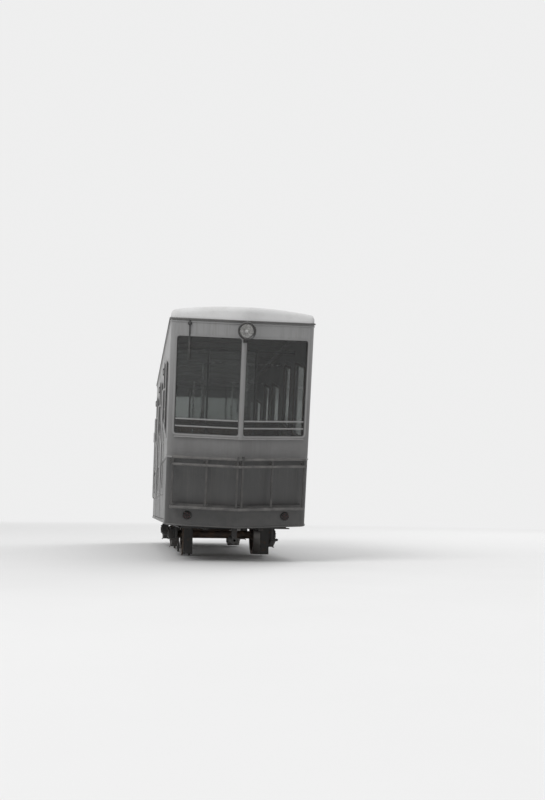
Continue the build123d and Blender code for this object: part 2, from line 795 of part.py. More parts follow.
def make_driver_places():
    """Desk inside each end, with the hand brake's wheel on it."""
    desks = []
    wheels = []
    for end, k in ((-1, 0), (1, COMPARTMENTS - 1)):
        z = floor_z(k)
        x = end * (INNER - DESK_IN - DESK_W / 2)
        y = end * (HALF_L - WALL)
        desks.append(block(x - DESK_W / 2, x + DESK_W / 2, y, y - end * DESK_DEPTH, z, z + DESK_UP))
        wheels.append(Pos(x, y - end * DESK_DEPTH / 2, z + DESK_UP) * hand_wheel())
    keep("driver_desks", tilted(Compound(children=desks)))
    keep("brake_handwheels", tilted(Compound(children=wheels)))


make_ends()
make_sides()
make_floors()
make_roof()
make_doors()
make_wheelsets()
make_axle_boxes()
make_springs()
make_underframe()
make_body_bearers()
make_rope_sockets()
make_rail_brakes()
make_under_fittings()
make_racks()
make_end_lamps()
make_end_trim()
make_inside()
make_driver_places()
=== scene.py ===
import json
import math
from itertools import product

import bmesh
import bpy
from mathutils import Matrix, Vector

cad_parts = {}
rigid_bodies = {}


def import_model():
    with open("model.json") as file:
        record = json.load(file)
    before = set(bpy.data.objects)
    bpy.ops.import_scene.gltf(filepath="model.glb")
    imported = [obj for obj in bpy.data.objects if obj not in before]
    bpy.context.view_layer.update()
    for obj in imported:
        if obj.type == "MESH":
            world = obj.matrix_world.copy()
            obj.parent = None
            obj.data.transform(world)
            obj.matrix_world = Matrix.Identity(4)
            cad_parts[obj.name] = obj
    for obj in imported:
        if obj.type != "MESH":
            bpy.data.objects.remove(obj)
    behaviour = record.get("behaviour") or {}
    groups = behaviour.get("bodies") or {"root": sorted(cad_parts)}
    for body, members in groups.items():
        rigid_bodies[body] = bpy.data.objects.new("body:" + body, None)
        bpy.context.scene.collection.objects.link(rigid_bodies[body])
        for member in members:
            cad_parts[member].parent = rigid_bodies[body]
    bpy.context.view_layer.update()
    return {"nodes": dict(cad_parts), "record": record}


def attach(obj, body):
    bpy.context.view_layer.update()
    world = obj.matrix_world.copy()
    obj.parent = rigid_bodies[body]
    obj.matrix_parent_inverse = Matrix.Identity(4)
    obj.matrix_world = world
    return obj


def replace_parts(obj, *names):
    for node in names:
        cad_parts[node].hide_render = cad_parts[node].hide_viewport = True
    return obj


# The car's cabin is level on the slope, so its pieces are drawn in a level frame and turned by SLOPE about
# X into the row frame, which follows the rails. Sizes are in metres, and profiles in mm() in millimetres.

for thing in list(bpy.data.objects):
    bpy.data.objects.remove(thing)
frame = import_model()
NODES = frame["nodes"]

# Sizes of the CAD, which the pieces made here have to meet
SLOPE = math.radians(12.5)
HALF_W = 0.900
HALF_L = 3.250
BOW = 0.150
WALL = 0.045
INNER = HALF_W - WALL
CORNER_R = 0.080
SEAM_Y = 3.150
PITCH = 2.050
FIRST = -3.075
FLOOR_H = 0.660
SKIRT_H = 0.470
PAINT_H = 1.340
FLANGE_H = 0.020
WINDOW_Y = 0.150
DOOR_Y = 1.180
BAY_W = 0.720
PANE_R = 0.030
STILE = 0.090
DOOR_T = 0.038
DOOR_GAP = 0.006
STRAP_T = 0.012
HINGE_UP = (0.250, 0.950, 1.600)
HANDLE_UP = 1.050
SILL_UP = 0.900
HEAD_UP = 1.840
HEADER = 0.130
EAVE_H = FLOOR_H + HEAD_UP + (DOOR_Y + BAY_W) * math.tan(SLOPE) + HEADER
GUTTER_T = 0.022
GUTTER_OUT = 0.015
END_SILL = {-1: 0.300, 1: 0.650}
END_HEAD_DROP = 0.200
POST_W = 0.060
END_PANE_X = 0.820
RAIL_X = 0.528
AXLE_Y = 1.700
AXLE_Z = 0.300
RACK_OUT = 0.150
RAIL_W = 0.028
RAIL_H = 0.034
RAIL_STEP = 0.090
RACK_RISE = 0.042
LEDGE_DROP = 0.628
LEDGE_T = 0.036
RACK_SIDE = 0.062
RACK_POST = 0.024
RACK_POST_X = (0.032, 0.410)
ARM_H = 0.026
ROOF_T = 0.035
ROOF_SIDE = 0.095
ROOF_CROWN = 0.165
POLE_X = 0.330
SEAT_UP = 0.440
BACK_UP = 0.900
SEAT_STEP = 0.070
BACK_STEP = 0.094
SLAT_HALF = 0.029
DESK_UP = 0.850
DESK_HALF = 0.250
DESK_IN = 0.235
DESK_DEEP = 0.260
LAMP_DROP = 0.099
LAMP_R = 0.107
LAMP_L = 0.170
LAMP_OUT = 0.040
RIM_W = 0.012
MARKER_IN = 0.280
MARKER_UP = 0.140
MARKER_R = 0.045
WIPER_IN = 0.228
WIPER_L = 0.490
GIRDER_X = 0.680
GIRDER_W = 0.060
GIRDER_Z = 0.420
GIRDER_H = 0.180
GIRDER_T = 0.014
TRANSOM_Y = (-2.300, -0.600, 0.600, 2.300)
TRANSOM_W = 0.090
BOX_FACE = 0.755
CAP_T = 0.018
LEVELS = ("upper", "middle", "lower")
BOTH = (-1, 1)
SWEEP = math.atan(BOW / HALF_W)
TILT = Matrix.Rotation(SLOPE, 4, "X")

# Sizes of this script's own pieces, beside those that only one function uses
CAB_RAIL_UP = 1.995
CAB_WAIST_UP = 0.950
CAB_BOARD_W = 0.090
POLE_R = 0.016
POLE_GAP = 0.018
ROOF_EDGE = 0.825
CORNER_STEPS = 6
JAMB_CLEAR = 0.020
HINGE_CLEAR = 0.110
BULB_HOLE = 0.016
DISH_DEPTH = 0.072
DISH_T = 0.0015
FLUTES = 24
FLUTE_H = 0.0012
PIPE_Y = (-3.300, 3.060)
JAW_OUT = 0.062
JAW_Z = 0.300
CRANK_Z = 0.372
GUSSET = 0.110
EYE_Z = 0.241
EYE_OUT = 0.358
CLIP_Z = 0.130
RIVET_STEP = 0.110
GIRDER_RIVET_STEP = 0.150
SKIRT_RIVET_UP = 0.050
BODY_RIVET = 0.0055
BENCH_BOLT = 0.007
HINGE_SCREW = 0.005
RIVET = ((1.0, -0.1), (1.0, 0.12), (0.86, 0.42), (0.55, 0.62), (0.16, 0.70))
SHARP = math.radians(38.0)


def level(x, y, z):
    """Row-frame place of a point of the level cabin."""
    return TILT @ Vector((x, y, z))


def facing(x, y, z):
    """Row-frame direction of a direction in the level cabin."""
    return TILT.to_3x3() @ Vector((x, y, z))


UP = facing(0, 0, 1)


def level_z(y, height):
    """Level height of a line that runs the given upright height above the rails."""
    return FLANGE_H / math.cos(SLOPE) - y * math.tan(SLOPE) + height


def end_z(end, height):
    return level_z(end * SEAM_Y, height)


def floor_z(k):
    return level_z(FIRST + PITCH * k, FLOOR_H)


def face_y(end, x, out=0.0):
    """Level-frame y of an end's face at x, moved outwards along the car by the given amount."""
    return end * (HALF_L + BOW - abs(x) * math.tan(SWEEP) + out)


# Camera, at the photograph's place and angle
CAM_AT = Vector((-1.3016, -15.2865, 0.6565))
CAM_RIGHT = Vector((0.98885, -0.14822, 0.01466))
CAM_DOWN = Vector((0.0319, 0.1146, -0.9929))
CAM_LENS = 41.82
CAM_FILM = 36.0


def make_camera():
    cam = bpy.data.cameras.new("camera")
    cam.lens = CAM_LENS
    cam.sensor_fit = "AUTO"
    cam.sensor_width = CAM_FILM
    cam.clip_end = 400.0
    obj = bpy.data.objects.new("camera", cam)
    bpy.context.scene.collection.objects.link(obj)
    right = CAM_RIGHT.normalized()
    up = (-CAM_DOWN).normalized()
    back = right.cross(up).normalized()
    up = back.cross(right)
    turn = Matrix((right, up, back)).transposed().to_4x4()
    obj.matrix_world = Matrix.Translation(CAM_AT) @ turn
    bpy.context.scene.camera = obj


# Materials
class Graph:
    """Short names for the shader nodes that the materials share."""

    def __init__(self, name):
        self.mat = bpy.data.materials.new(name)
        self.mat.use_nodes = True
        self.tree = self.mat.node_tree
        self.tree.nodes.clear()
        self.shader = self.node("ShaderNodeBsdfPrincipled")
        self.out = self.node("ShaderNodeOutputMaterial")
        self.link(self.shader.outputs[0], self.out.inputs[0])
        self.coord = None

    def link(self, a, b):
        self.tree.links.new(a, b)

    def node(self, kind, inputs=(), **values):
        """A node with its settings, and its inputs given as (socket, value or other node's socket)."""
        node = self.tree.nodes.new(kind)
        for key, value in values.items():
            setattr(node, key, value)
        for socket, value in inputs:
            self.put(node.inputs[socket], value)
        return node

    def put(self, socket, value):
        if isinstance(value, bpy.types.NodeSocket):
            self.link(value, socket)
        else:
            socket.default_value = value

    def place(self, stretch=(1, 1, 1), level=False):
        """Object coordinates, stretched, and turned upright with the cabin where level is true."""
        if self.coord is None:
            self.coord = self.node("ShaderNodeTexCoord")
        vector = self.coord.outputs["Object"]
        if level:
            vector = self.node("ShaderNodeMapping", ((0, vector), ("Rotation", (-SLOPE, 0, 0)))).outputs[0]
        if stretch != (1, 1, 1):
            vector = self.node("ShaderNodeMapping", ((0, vector), ("Scale", stretch))).outputs[0]
        return vector

    def axis(self, which, level=False):
        split = self.node("ShaderNodeSeparateXYZ", ((0, self.place(level=level)),))
        return split.outputs["XYZ".index(which)]

    def noise(self, scale, detail=4.0, rough=0.55, **where):
        vector = self.place(**where)
        inputs = (("Vector", vector), ("Scale", scale), ("Detail", detail), ("Roughness", rough))
        return self.node("ShaderNodeTexNoise", inputs).outputs["Fac"]

    def cells(self, scale):
        inputs = (("Vector", self.place()), ("Scale", scale))
        return self.node("ShaderNodeTexVoronoi", inputs).outputs["Distance"]

    def range(self, value, low, high, to_low=0.0, to_high=1.0):
        ends = (("From Min", low), ("From Max", high), ("To Min", to_low), ("To Max", to_high))
        return self.node("ShaderNodeMapRange", (("Value", value), *ends)).outputs[0]

    def math(self, how, a, b=0.0):
        return self.node("ShaderNodeMath", ((0, a), (1, b)), operation=how).outputs[0]

    def times(self, a, b):
        return self.math("MULTIPLY", a, b)

    def length(self, a, b):
        """Distance from zero of two measures at right angles."""
        return self.math("SQRT", self.math("ADD", self.times(a, a), self.times(b, b)))

    def mix(self, amount, a, b):
        inputs = (("Factor", amount), (6, rgba(a)), (7, rgba(b)))
        return self.node("ShaderNodeMix", inputs, data_type="RGBA").outputs[2]

    def stain(self, color, amount, strength, over):
        return self.mix(self.times(amount, strength), color, over)

    def wear(self, radius):
        """One near a corner of the surface, nothing on its flats."""
        bevel = self.node("ShaderNodeBevel", (("Radius", radius),), samples=4)
        geometry = self.node("ShaderNodeNewGeometry")
        inputs = ((0, bevel.outputs[0]), (1, geometry.outputs["Normal"]))
        dot = self.node("ShaderNodeVectorMath", inputs, operation="DOT_PRODUCT")
        return self.range(dot.outputs["Value"], 0.99, 0.90)

    def bump(self, height, strength, distance):
        inputs = (("Strength", strength), ("Distance", distance), ("Height", height))
        self.link(self.node("ShaderNodeBump", inputs).outputs[0], self.shader.inputs["Normal"])

    def finish(self, color, rough, metal):
        self.put(self.shader.inputs["Base Color"], rgba(color))
        self.put(self.shader.inputs["Roughness"], rough)
        self.put(self.shader.inputs["Metallic"], metal)
        return self.mat

    def blend(self, amount, first, second):
        """Send a mix of two shaders to the output."""
        inputs = ((0, amount), (1, first.outputs[0]), (2, second.outputs[0]))
        self.link(self.node("ShaderNodeMixShader", inputs).outputs[0], self.out.inputs[0])

    def seen(self):
        """One for the rays that look past the car: from the camera, off gloss and through glass."""
        path = self.node("ShaderNodeLightPath")
        seen = self.math("MAXIMUM", path.outputs["Is Camera Ray"], path.outputs["Is Glossy Ray"])
        return self.math("MAXIMUM", seen, path.outputs["Is Transmission Ray"])


class WorldGraph(Graph):
    """The same short names for the world's nodes."""

    def __init__(self, name):
        world = bpy.data.worlds.new(name)
        bpy.context.scene.world = world
        world.use_nodes = True
        self.tree = world.node_tree
        self.tree.nodes.clear()
        self.out = self.node("ShaderNodeOutputWorld")


def rgba(value):
    if isinstance(value, tuple):
        return (*value, 1.0)
    return value


def grey(tone, warm=0.0):
    return (tone * (1 + warm), tone, tone * (1 - warm))


def enamel(name, tone, dirt, chip, dust=(0.0, 0.01), rough=0.42, low_darkening=0.0, below=0.0):
    """Old gloss paint: slow tone changes, rain streaks, road dust low down, and chips along the edges.

    The dust thins out between the two heights above the rails. The paint is also darkened, by the share
    given, below a band of heights and less across it, so that it is darker towards the bottom. Where below
    is given, it is the tone under the paint line, for a piece that crosses it.
    """
    g = Graph(name)
    slow = g.range(g.noise(1.3, 3.0, level=True), 0.3, 0.7)
    color = g.mix(slow, grey(tone * 0.93), grey(tone * 1.06))
    above = g.math("ADD", g.axis("Z", level=True), g.times(g.axis("Y", level=True), math.tan(SLOPE)))
    if below > 0:
        under = g.mix(slow, grey(below * 0.93), grey(below * 1.06))
        line = PAINT_H + FLANGE_H / math.cos(SLOPE)
        color = g.mix(g.range(above, line - 0.001, line + 0.001), under, color)
    streak = g.noise(9.0, 5.0, 0.6, level=True, stretch=(1.0, 1.0, 0.07))
    color = g.stain(color, g.range(streak, 0.52, 0.72), 0.30, grey(dirt, 0.02))
    runs = g.noise(46.0, 4.0, 0.6, level=True, stretch=(1.0, 1.0, 0.045))
    runs = g.times(g.range(runs, 0.50, 0.70), g.range(g.noise(1.9, 3.0, level=True), 0.42, 0.62))
    color = g.stain(color, runs, 0.26, chip)
    cloud = g.noise(5.0, 6.0, 0.6, level=True)
    settled = g.times(g.range(above, *dust, 1.0, 0.0), g.range(cloud, 0.30, 0.75))
    color = g.stain(color, settled, 0.65, grey(dirt * 1.25, 0.04))
    edge = g.times(g.wear(0.005), g.range(g.noise(38.0), 0.45, 0.60))
    color = g.stain(color, edge, 0.8, chip)
    speck = g.times(g.range(g.cells(60.0), 0.05, 0.02), g.range(g.noise(3.0, 2.0), 0.60, 0.66))
    color = g.mix(speck, color, chip)
    # Darker towards the bottom: full share below the band of heights, fading to none at its top.
    if low_darkening > 0:
        color = g.mix(g.range(above, *DARKENING_H, low_darkening, 0.0), color, grey(dirt, 0.02))
    g.bump(g.noise(55.0, 3.0, 0.5), 0.06, 0.002)
    g.put(g.shader.inputs["Coat Weight"], 0.12)
    g.put(g.shader.inputs["Coat Roughness"], 0.22)
    return g.finish(color, g.range(cloud, 0.3, 0.8, rough - 0.07, rough + 0.16), 0.0)


def roof_paint(name):
    """Chalky roof paint, greyer where soot and leaf stain have settled."""
    g = Graph(name)
    color = g.mix(g.range(g.noise(0.9, level=True), 0.3, 0.7), grey(0.60), grey(0.68))
    soot = g.noise(2.4, 7.0, 0.7)
    color = g.mix(g.range(soot, 0.50, 0.80, 0.0, 0.32), color, grey(0.34, 0.05))
    fine = g.noise(34.0, 6.0, 0.7)
    color = g.mix(g.range(fine, 0.55, 0.80, 0.0, 0.25), color, grey(0.30, 0.06))
    edge = g.times(g.wear(0.006), g.range(g.noise(30.0), 0.5, 0.6))
    color = g.stain(color, edge, 0.6, grey(0.3, 0.06))
    g.bump(g.noise(120.0, 4.0, 0.6), 0.12, 0.002)
    return g.finish(color, g.range(soot, 0.3, 0.7, 0.55, 0.75), 0.0)


def grimy_steel(name, tone, rust, amount, rough=0.6, metal=0.25):
    """Painted steel under oil and brake dust, with rust where the paint has gone."""
    g = Graph(name)
    blotch = g.noise(7.0, 6.0, 0.62)
    color = g.mix(g.range(blotch, 0.35, 0.65), grey(tone * 0.7, 0.02), grey(tone * 1.35, 0.04))
    patch = g.range(g.noise(16.0, 7.0, 0.7), 0.60 - amount, 0.72 - amount)
    color = g.stain(color, patch, 0.75, rust)
    edge = g.times(g.wear(0.004), g.range(g.noise(50.0), 0.42, 0.58))
    color = g.stain(color, edge, 0.7, grey(tone * 2.6, 0.03))
    g.bump(g.noise(90.0, 5.0, 0.65), 0.25, 0.003)
    return g.finish(color, g.range(blotch, 0.3, 0.7, rough - 0.12, rough + 0.15), metal)


def wheel_steel(name):
    """Rolled steel, brown on the web and polished where the tread runs on the rail."""
    g = Graph(name)
    y = g.math("SUBTRACT", g.math("ABSOLUTE", g.axis("Y")), AXLE_Y)
    z = g.math("SUBTRACT", g.axis("Z"), AXLE_Z)
    radius = g.length(y, z)
    tread = g.times(g.range(radius, 0.274, 0.279), g.range(radius, 0.297, 0.285))
    rust = g.range(g.noise(14.0, 7.0, 0.65), 0.35, 0.68)
    color = g.mix(rust, (0.085, 0.075, 0.068), (0.17, 0.115, 0.08))
    color = g.stain(color, tread, 0.9, (0.30, 0.29, 0.28))
    centred = g.node("ShaderNodeCombineXYZ", ((1, y), (2, z))).outputs[0]
    inputs = (("Scale", 30.0), ("Vector", centred))
    rings = g.node("ShaderNodeTexWave", inputs, wave_type="RINGS", rings_direction="X").outputs["Fac"]
    g.bump(g.math("ADD", g.times(rings, 0.15), g.noise(80.0, 5.0)), 0.18, 0.002)
    return g.finish(color, g.range(tread, 0.0, 1.0, 0.68, 0.34), g.range(tread, 0.0, 1.0, 0.35, 1.0))


def wood(name, dark, light, board, along="Y"):
    """Varnished or trodden boards with grain along one axis and a joint between boards."""
    g = Graph(name)
    stretch = {"X": (0.06, 1.0, 1.0), "Y": (1.0, 0.06, 1.0)}[along]
    grain = g.noise(60.0, 8.0, 0.65, level=True, stretch=stretch)
    slow = g.noise(4.0, 3.0, level=True, stretch=stretch)
    color = g.mix(g.range(grain, 0.3, 0.7), dark, light)
    color = g.mix(g.range(slow, 0.3, 0.75, 0.0, 0.45), color, tuple(0.5 * v for v in dark))
    across = g.axis("X" if along == "Y" else "Y", level=True)
    step = g.math("FRACT", g.math("DIVIDE", across, board))
    joint = g.range(g.math("ABSOLUTE", g.math("SUBTRACT", step, 0.5)), 0.485, 0.497)
    color = g.mix(joint, color, tuple(0.15 * v for v in dark))
    g.bump(g.math("SUBTRACT", g.times(grain, 0.4), joint), 0.35, 0.002)
    return g.finish(color, g.range(grain, 0.3, 0.7, 0.35, 0.55), 0.0)


def glass(name, tint, shade, rough=0.02):
    """Clear sheet with a little dust, which lets the share called shade of the light through its shadow."""
    g = Graph(name)
    g.put(g.shader.inputs["Transmission Weight"], 1.0)
    g.put(g.shader.inputs["IOR"], 1.45)
    g.finish(tint, g.range(g.noise(2.5, 5.0, 0.6), 0.45, 0.85, rough, rough + 0.07), 0.0)
    clear = g.node("ShaderNodeBsdfTransparent", ((0, (shade, shade, shade, 1.0)),))
    path = g.node("ShaderNodeLightPath")
    g.blend(path.outputs["Is Shadow Ray"], g.shader, clear)
    return g.mat


def polished(name, tone):
    g = Graph(name)
    smear = g.noise(22.0, 5.0, 0.6)
    color = g.mix(g.range(smear, 0.4, 0.7), grey(tone), grey(tone * 0.72, 0.03))
    g.bump(g.noise(200.0, 3.0, stretch=(1, 1, 0.1)), 0.04, 0.001)
    return g.finish(color, g.range(smear, 0.3, 0.7, 0.16, 0.36), 1.0)


def rubber(name, tone):
    g = Graph(name)
    dust = g.range(g.noise(18.0, 6.0, 0.6), 0.45, 0.75)
    color = g.mix(dust, grey(tone), grey(tone * 2.6, 0.03))
    g.bump(g.noise(150.0, 3.0), 0.15, 0.001)
    return g.finish(color, g.range(dust, 0.0, 1.0, 0.55, 0.8), 0.0)


# Band of heights across which the upper paint's darkening fades out.
DARKENING_H = (1.9, 2.75)
HIGH_DUST = (1.15, 2.0)
TRIM_DUST = (1.15, 2.3)
LOW_DUST = (0.35, 1.15)
BROWN = (0.10, 0.085, 0.075)
UPPER = enamel("paint_upper", 0.238, 0.085, BROWN, HIGH_DUST, low_darkening=0.5)
DOOR = enamel("paint_door", 0.238, 0.085, BROWN, HIGH_DUST, low_darkening=0.4, below=0.052)
TRIM = enamel("paint_trim", 0.225, 0.12, (0.12, 0.10, 0.09), TRIM_DUST)
BAR = enamel("paint_bar", 0.27, 0.12, (0.14, 0.12, 0.10), TRIM_DUST)
LOWER = enamel("paint_lower", 0.050, 0.085, (0.11, 0.10, 0.09), LOW_DUST)
LOWER_TRIM = enamel("paint_lower_trim", 0.066, 0.085, (0.14, 0.12, 0.10), LOW_DUST)
KICK = enamel("paint_kick_plate", 0.040, 0.11, (0.13, 0.12, 0.11), (0.35, 1.9), rough=0.5)
HANDRAIL = enamel("paint_handrail", 0.40, 0.22, (0.20, 0.18, 0.16), (0.35, 1.6), rough=0.35)
# The gutter's near-black paint is painted shade, for the shadow line under the roof's edge.
GUTTER_SHADE = enamel("paint_gutter", 0.085, 0.06, (0.16, 0.14, 0.12), (3.0, 3.1))
BLACK = enamel("paint_black", 0.016, 0.05, (0.12, 0.11, 0.10), (0.4, 0.6), rough=0.32)
DESK = enamel("paint_desk", 0.10, 0.06, (0.15, 0.14, 0.12), (0.9, 1.2))
POLE = enamel("paint_pole", 0.030, 0.03, (0.20, 0.19, 0.17), rough=0.3)
DIAL = enamel("paint_dial", 0.62, 0.5, (0.5, 0.5, 0.5), rough=0.35)
PEARL = enamel("glass_pearl", 0.75, 0.6, (0.7, 0.7, 0.7), rough=0.25)
ROOF = roof_paint("paint_roof")
GRIME = grimy_steel("steel_under", 0.040, (0.095, 0.052, 0.032), 0.02)
SPRING = grimy_steel("steel_spring", 0.060, (0.10, 0.055, 0.035), 0.06, rough=0.5, metal=0.6)
RACK = grimy_steel("steel_rack", 0.055, (0.10, 0.065, 0.045), -0.06, rough=0.5, metal=0.1)
# RAIL_LIT is a lighter copy of the rack steel: painted highlight for the sky-lit top edges of the rails and
# ledge.
RAIL_LIT = grimy_steel("steel_rail", 0.100, (0.12, 0.075, 0.05), -0.06, rough=0.45, metal=0.1)
WHEEL = wheel_steel("steel_wheel")
FLOOR = wood("wood_floor", (0.050, 0.036, 0.026), (0.105, 0.078, 0.056), 0.11)
CEILING = wood("wood_ceiling", (0.290, 0.275, 0.250), (0.330, 0.315, 0.290), 0.11)
BENCH = wood("wood_bench", (0.060, 0.033, 0.018), (0.130, 0.076, 0.040), 0.35, along="X")
# The window glass's dark tint is painted shade: it darkens all that is seen through the panes.
GLASS_SHADED = glass("glass_window", (0.42, 0.435, 0.43), 0.75)
SCREEN_GLASS = glass("glass_screen", (0.70, 0.72, 0.71), 0.6)
LENS = glass("glass_lens", (0.97, 0.97, 0.96), 0.9)
MARKER = glass("glass_marker", (0.25, 0.02, 0.015), 0.4, rough=0.10)
CHROME = polished("metal_polished", 0.62)
MIRROR = polished("metal_mirror", 0.86)
RUBBER = rubber("rubber_seal", 0.03)

# Materials of each slot. The first is for the CAD's nodes, unless BY_NODE has another.
BY_SLOT = {
    "body_upper": (UPPER, TRIM),
    "body_lower": (LOWER, LOWER_TRIM),
    "roof_paint": (ROOF, DIAL),
    "gutter_dark": (GUTTER_SHADE,),
    "window_glass": (GLASS_SHADED, SCREEN_GLASS),
    "underframe_steel": (GRIME,),
    "spring_steel": (SPRING,),
    "wheel_steel": (WHEEL,),
    "floor_boards": (FLOOR,),
    "bench_wood": (BENCH, CEILING),
    "rack_steel": (RACK, RAIL_LIT),
    "lamp_black": (BLACK, RUBBER, POLE),
    "lamp_glass": (LENS, PEARL),
    "marker_glass": (MARKER,),
    "polished_steel": (CHROME, MIRROR, KICK, HANDRAIL),
    "desk_paint": (DESK,),
}
SLOT_OF = {material.name: slot for slot, row in BY_SLOT.items() for material in row}
BY_NODE = {"window_bars": BAR, "wipers": RUBBER}
BY_NODE.update({f"door_{side}_{step}": DOOR for side in ("left", "right") for step in LEVELS})


def dress_nodes():
    for row in frame["record"]["subparts"]:
        material = BY_NODE.get(row["node"], BY_SLOT[row["material_slot"]][0])
        for place in NODES[row["node"]].material_slots:
            place.material = material


# Mesh helpers
def spot(at, out, up=Vector((0, 0, 1))):
    """Placing matrix at a point: Z looks outwards and Y is as near to up as it can be."""
    z = Vector(out).normalized()
    x = Vector(up).cross(z).normalized()
    y = z.cross(x)
    return Matrix.Translation(Vector(at)) @ Matrix((x, y, z)).transposed().to_4x4()


def upright(x, y, z):
    """Placing matrix on a point of the level cabin, with Z straight up."""
    return spot(level(x, y, z), UP, (0, 1, 0))


def circle(place, radius, height, steps, start=0.0):
    """Points round the Z axis of a placing matrix, from a start angle in degrees."""
    turns = [math.radians(start) + math.tau * i / steps for i in range(steps)]
    return [place @ Vector((radius * math.cos(turn), radius * math.sin(turn), height)) for turn in turns]


def directions(points, closed=False):
    """Unit direction of each straight run between points."""
    following = points[1:] + points[:1] if closed else points[1:]
    return [(after - before).normalized() for before, after in zip(points, following)]


class Piece:
    """A mesh under construction, in the row frame, with the body that carries it; the slot it keeps is not
    used.
    """

    def __init__(self, name, material, body="car", slot=None):
        self.name = name
        self.material = material
        self.body = body
        self.slot = slot or SLOT_OF[material.name]
        self.bm = bmesh.new()

    def skin(self, rings, closed=False):
        """Walls between successive rings of points, with a cap at each end unless it is closed."""
        rows = [[self.bm.verts.new(point) for point in ring] for ring in rings]
        following = rows[1:] + rows[:1] if closed else rows[1:]
        for near, far in zip(rows, following):
            for i in range(len(near)):
                j = (i + 1) % len(near)
                self.bm.faces.new((near[i], near[j], far[j], far[i]))
        if not closed:
            self.bm.faces.new(rows[0][::-1])
            self.bm.faces.new(rows[-1])

    def sweep(self, points, normals, profile, closed=False):
        """Carry a profile of (across, out) points along straight runs, mitred where they meet."""
        runs = directions(points, closed)
        rings = []
        for i, point in enumerate(points):
            last = i - 1 if closed or i > 0 else 0
            before = runs[last]
            plane = (before + runs[min(i, len(runs) - 1)]).normalized()
            side = normals[last].cross(before)
            ring = []
            for across, out in profile:
                offset = normals[last] * out + side * across
                ring.append(point + offset - before * (offset.dot(plane) / before.dot(plane)))
            rings.append(ring)
        self.skin(rings, closed)

    def tube(self, points, radius, steps=12):
        """Round bar along a run of points."""
        points = [Vector(point) for point in points]
        runs = directions(points)
        normals = [runs[0].orthogonal().normalized()]
        for before, after in zip(runs, runs[1:]):
            normals.append((before.rotation_difference(after) @ normals[-1]).normalized())
        self.sweep(points, normals, round_section(radius, radius, steps))

    def lathe(self, place, profile, steps=20, closed=False):
        """Turn (radius, height) points about the Z axis of a placing matrix."""
        self.skin([circle(place, radius, height, steps) for radius, height in profile], closed)

    def box(self, place, low, high):
        """Box between two corners in the frame of a placing matrix."""
        corners = ((low[0], low[1]), (high[0], low[1]), (high[0], high[1]), (low[0], high[1]))
        self.skin([[place @ Vector((x, y, z)) for x, y in corners] for z in (low[2], high[2])])

    def slab(self, place, half_wide, half_tall, low, high):
        """Box about the Z axis of a placing matrix."""
        self.box(place, (-half_wide, -half_tall, low), (half_wide, half_tall, high))

    def bolt(self, place, radius, height):
        """Hexagon head on a washer."""
        self.lathe(place, ((1.45 * radius, -0.001), (1.45 * radius, 0.22 * height)), 14)
        self.lathe(place, ((radius, 0.2 * height), (radius, 0.86 * height), (0.85 * radius, height)), 6)

    def rivet(self, place, radius):
        self.lathe(place, [(radius * r, radius * h) for r, h in RIVET], 9)

    def done(self, bevel=0.0):
        bmesh.ops.recalc_face_normals(self.bm, faces=self.bm.faces)
        for face in self.bm.faces:
            face.smooth = True
        for edge in self.bm.edges:
            if len(edge.link_faces) != 2 or edge.calc_face_angle() > SHARP:
                edge.smooth = False
        mesh = bpy.data.meshes.new(self.name)
        self.bm.to_mesh(mesh)
        self.bm.free()
        mesh.materials.append(self.material)
        obj = bpy.data.objects.new(self.name, mesh)
        bpy.context.scene.collection.objects.link(obj)
        if bevel > 0:
            mod = obj.modifiers.new("edges", "BEVEL")
            mod.width = bevel
            mod.segments = 2
            mod.limit_method = "ANGLE"
            mod.angle_limit = SHARP
            mod.harden_normals = True
        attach(obj, self.body)
        return obj


def round_section(across, out, steps, middle=0.0):
    """Circle or ellipse as (across, out) points, with its middle this far out."""
    turns = [math.tau * i / steps for i in range(steps)]
    return [(across * math.cos(turn), middle + out * math.sin(turn)) for turn in turns]


def raised_strip(half, edge_out, top_half, top_out, base=-0.001, crown=None):
    """Strip with sloping edges and a flat or crowned top, as (across, out) points."""
    right = [(top_half, top_out), (half, edge_out), (half, base)]
    middle = [] if crown is None else [(0.0, crown)]
    return [(-across, out) for across, out in reversed(right)] + middle + right


def rounded_box(u0, u1, v0, v1, radius=PANE_R, steps=5):
    """Corners of a rounded rectangle, anticlockwise."""
    centres = ((u1 - radius, v0 + radius, -90), (u1 - radius, v1 - radius, 0),
               (u0 + radius, v1 - radius, 90), (u0 + radius, v0 + radius, 180))
    points = []
    for u, v, start in centres:
        for i in range(steps + 1):
            turn = math.radians(start + 90 * i / steps)
            points.append((u + radius * math.cos(turn), v + radius * math.sin(turn)))
    return points


def mm(*points):
    """Points given in millimetres."""
    return [tuple(part / 1000 for part in point) for point in points]


class Wall:
    """Outer face of a wall: u is the place along it and v the level height.

    Turned tells that a loop on this wall runs the other way, so that across still points into it.
    """

    def __init__(self, name, sign):
        self.name = name
        self.sign = sign

    def spot(self, u, v, out=0.0):
        return spot(self.at(u, v, out), self.normal(u), UP)

    def loop(self, path):
        return path[::-1] if self.turned else path

    def run(self, piece, path, profile, closed=False, out=0.0):
        """Sweep a profile along (u, v) points, where across is positive to the left of the way."""
        following = path[1:] + path[:1] if closed else path[1:]
        normals = [self.normal((a[0] + b[0]) / 2) for a, b in zip(path, following)]
        piece.sweep([self.at(u, v, out) for u, v in path], normals, profile, closed)


class Side(Wall):
    """A side wall."""

    def __init__(self, name, sign):
        super().__init__(name, sign)
        self.turned = sign < 0
        self.panes = [side_pane(k) for k in range(3)]
        self.doors = [(k, f"door_{name}_{step}") for k, step in enumerate(LEVELS)]

    def at(self, u, v, out=0.0):
        return level(self.sign * (HALF_W + out), u, v)

    def normal(self, u):
        return Vector((self.sign, 0, 0))


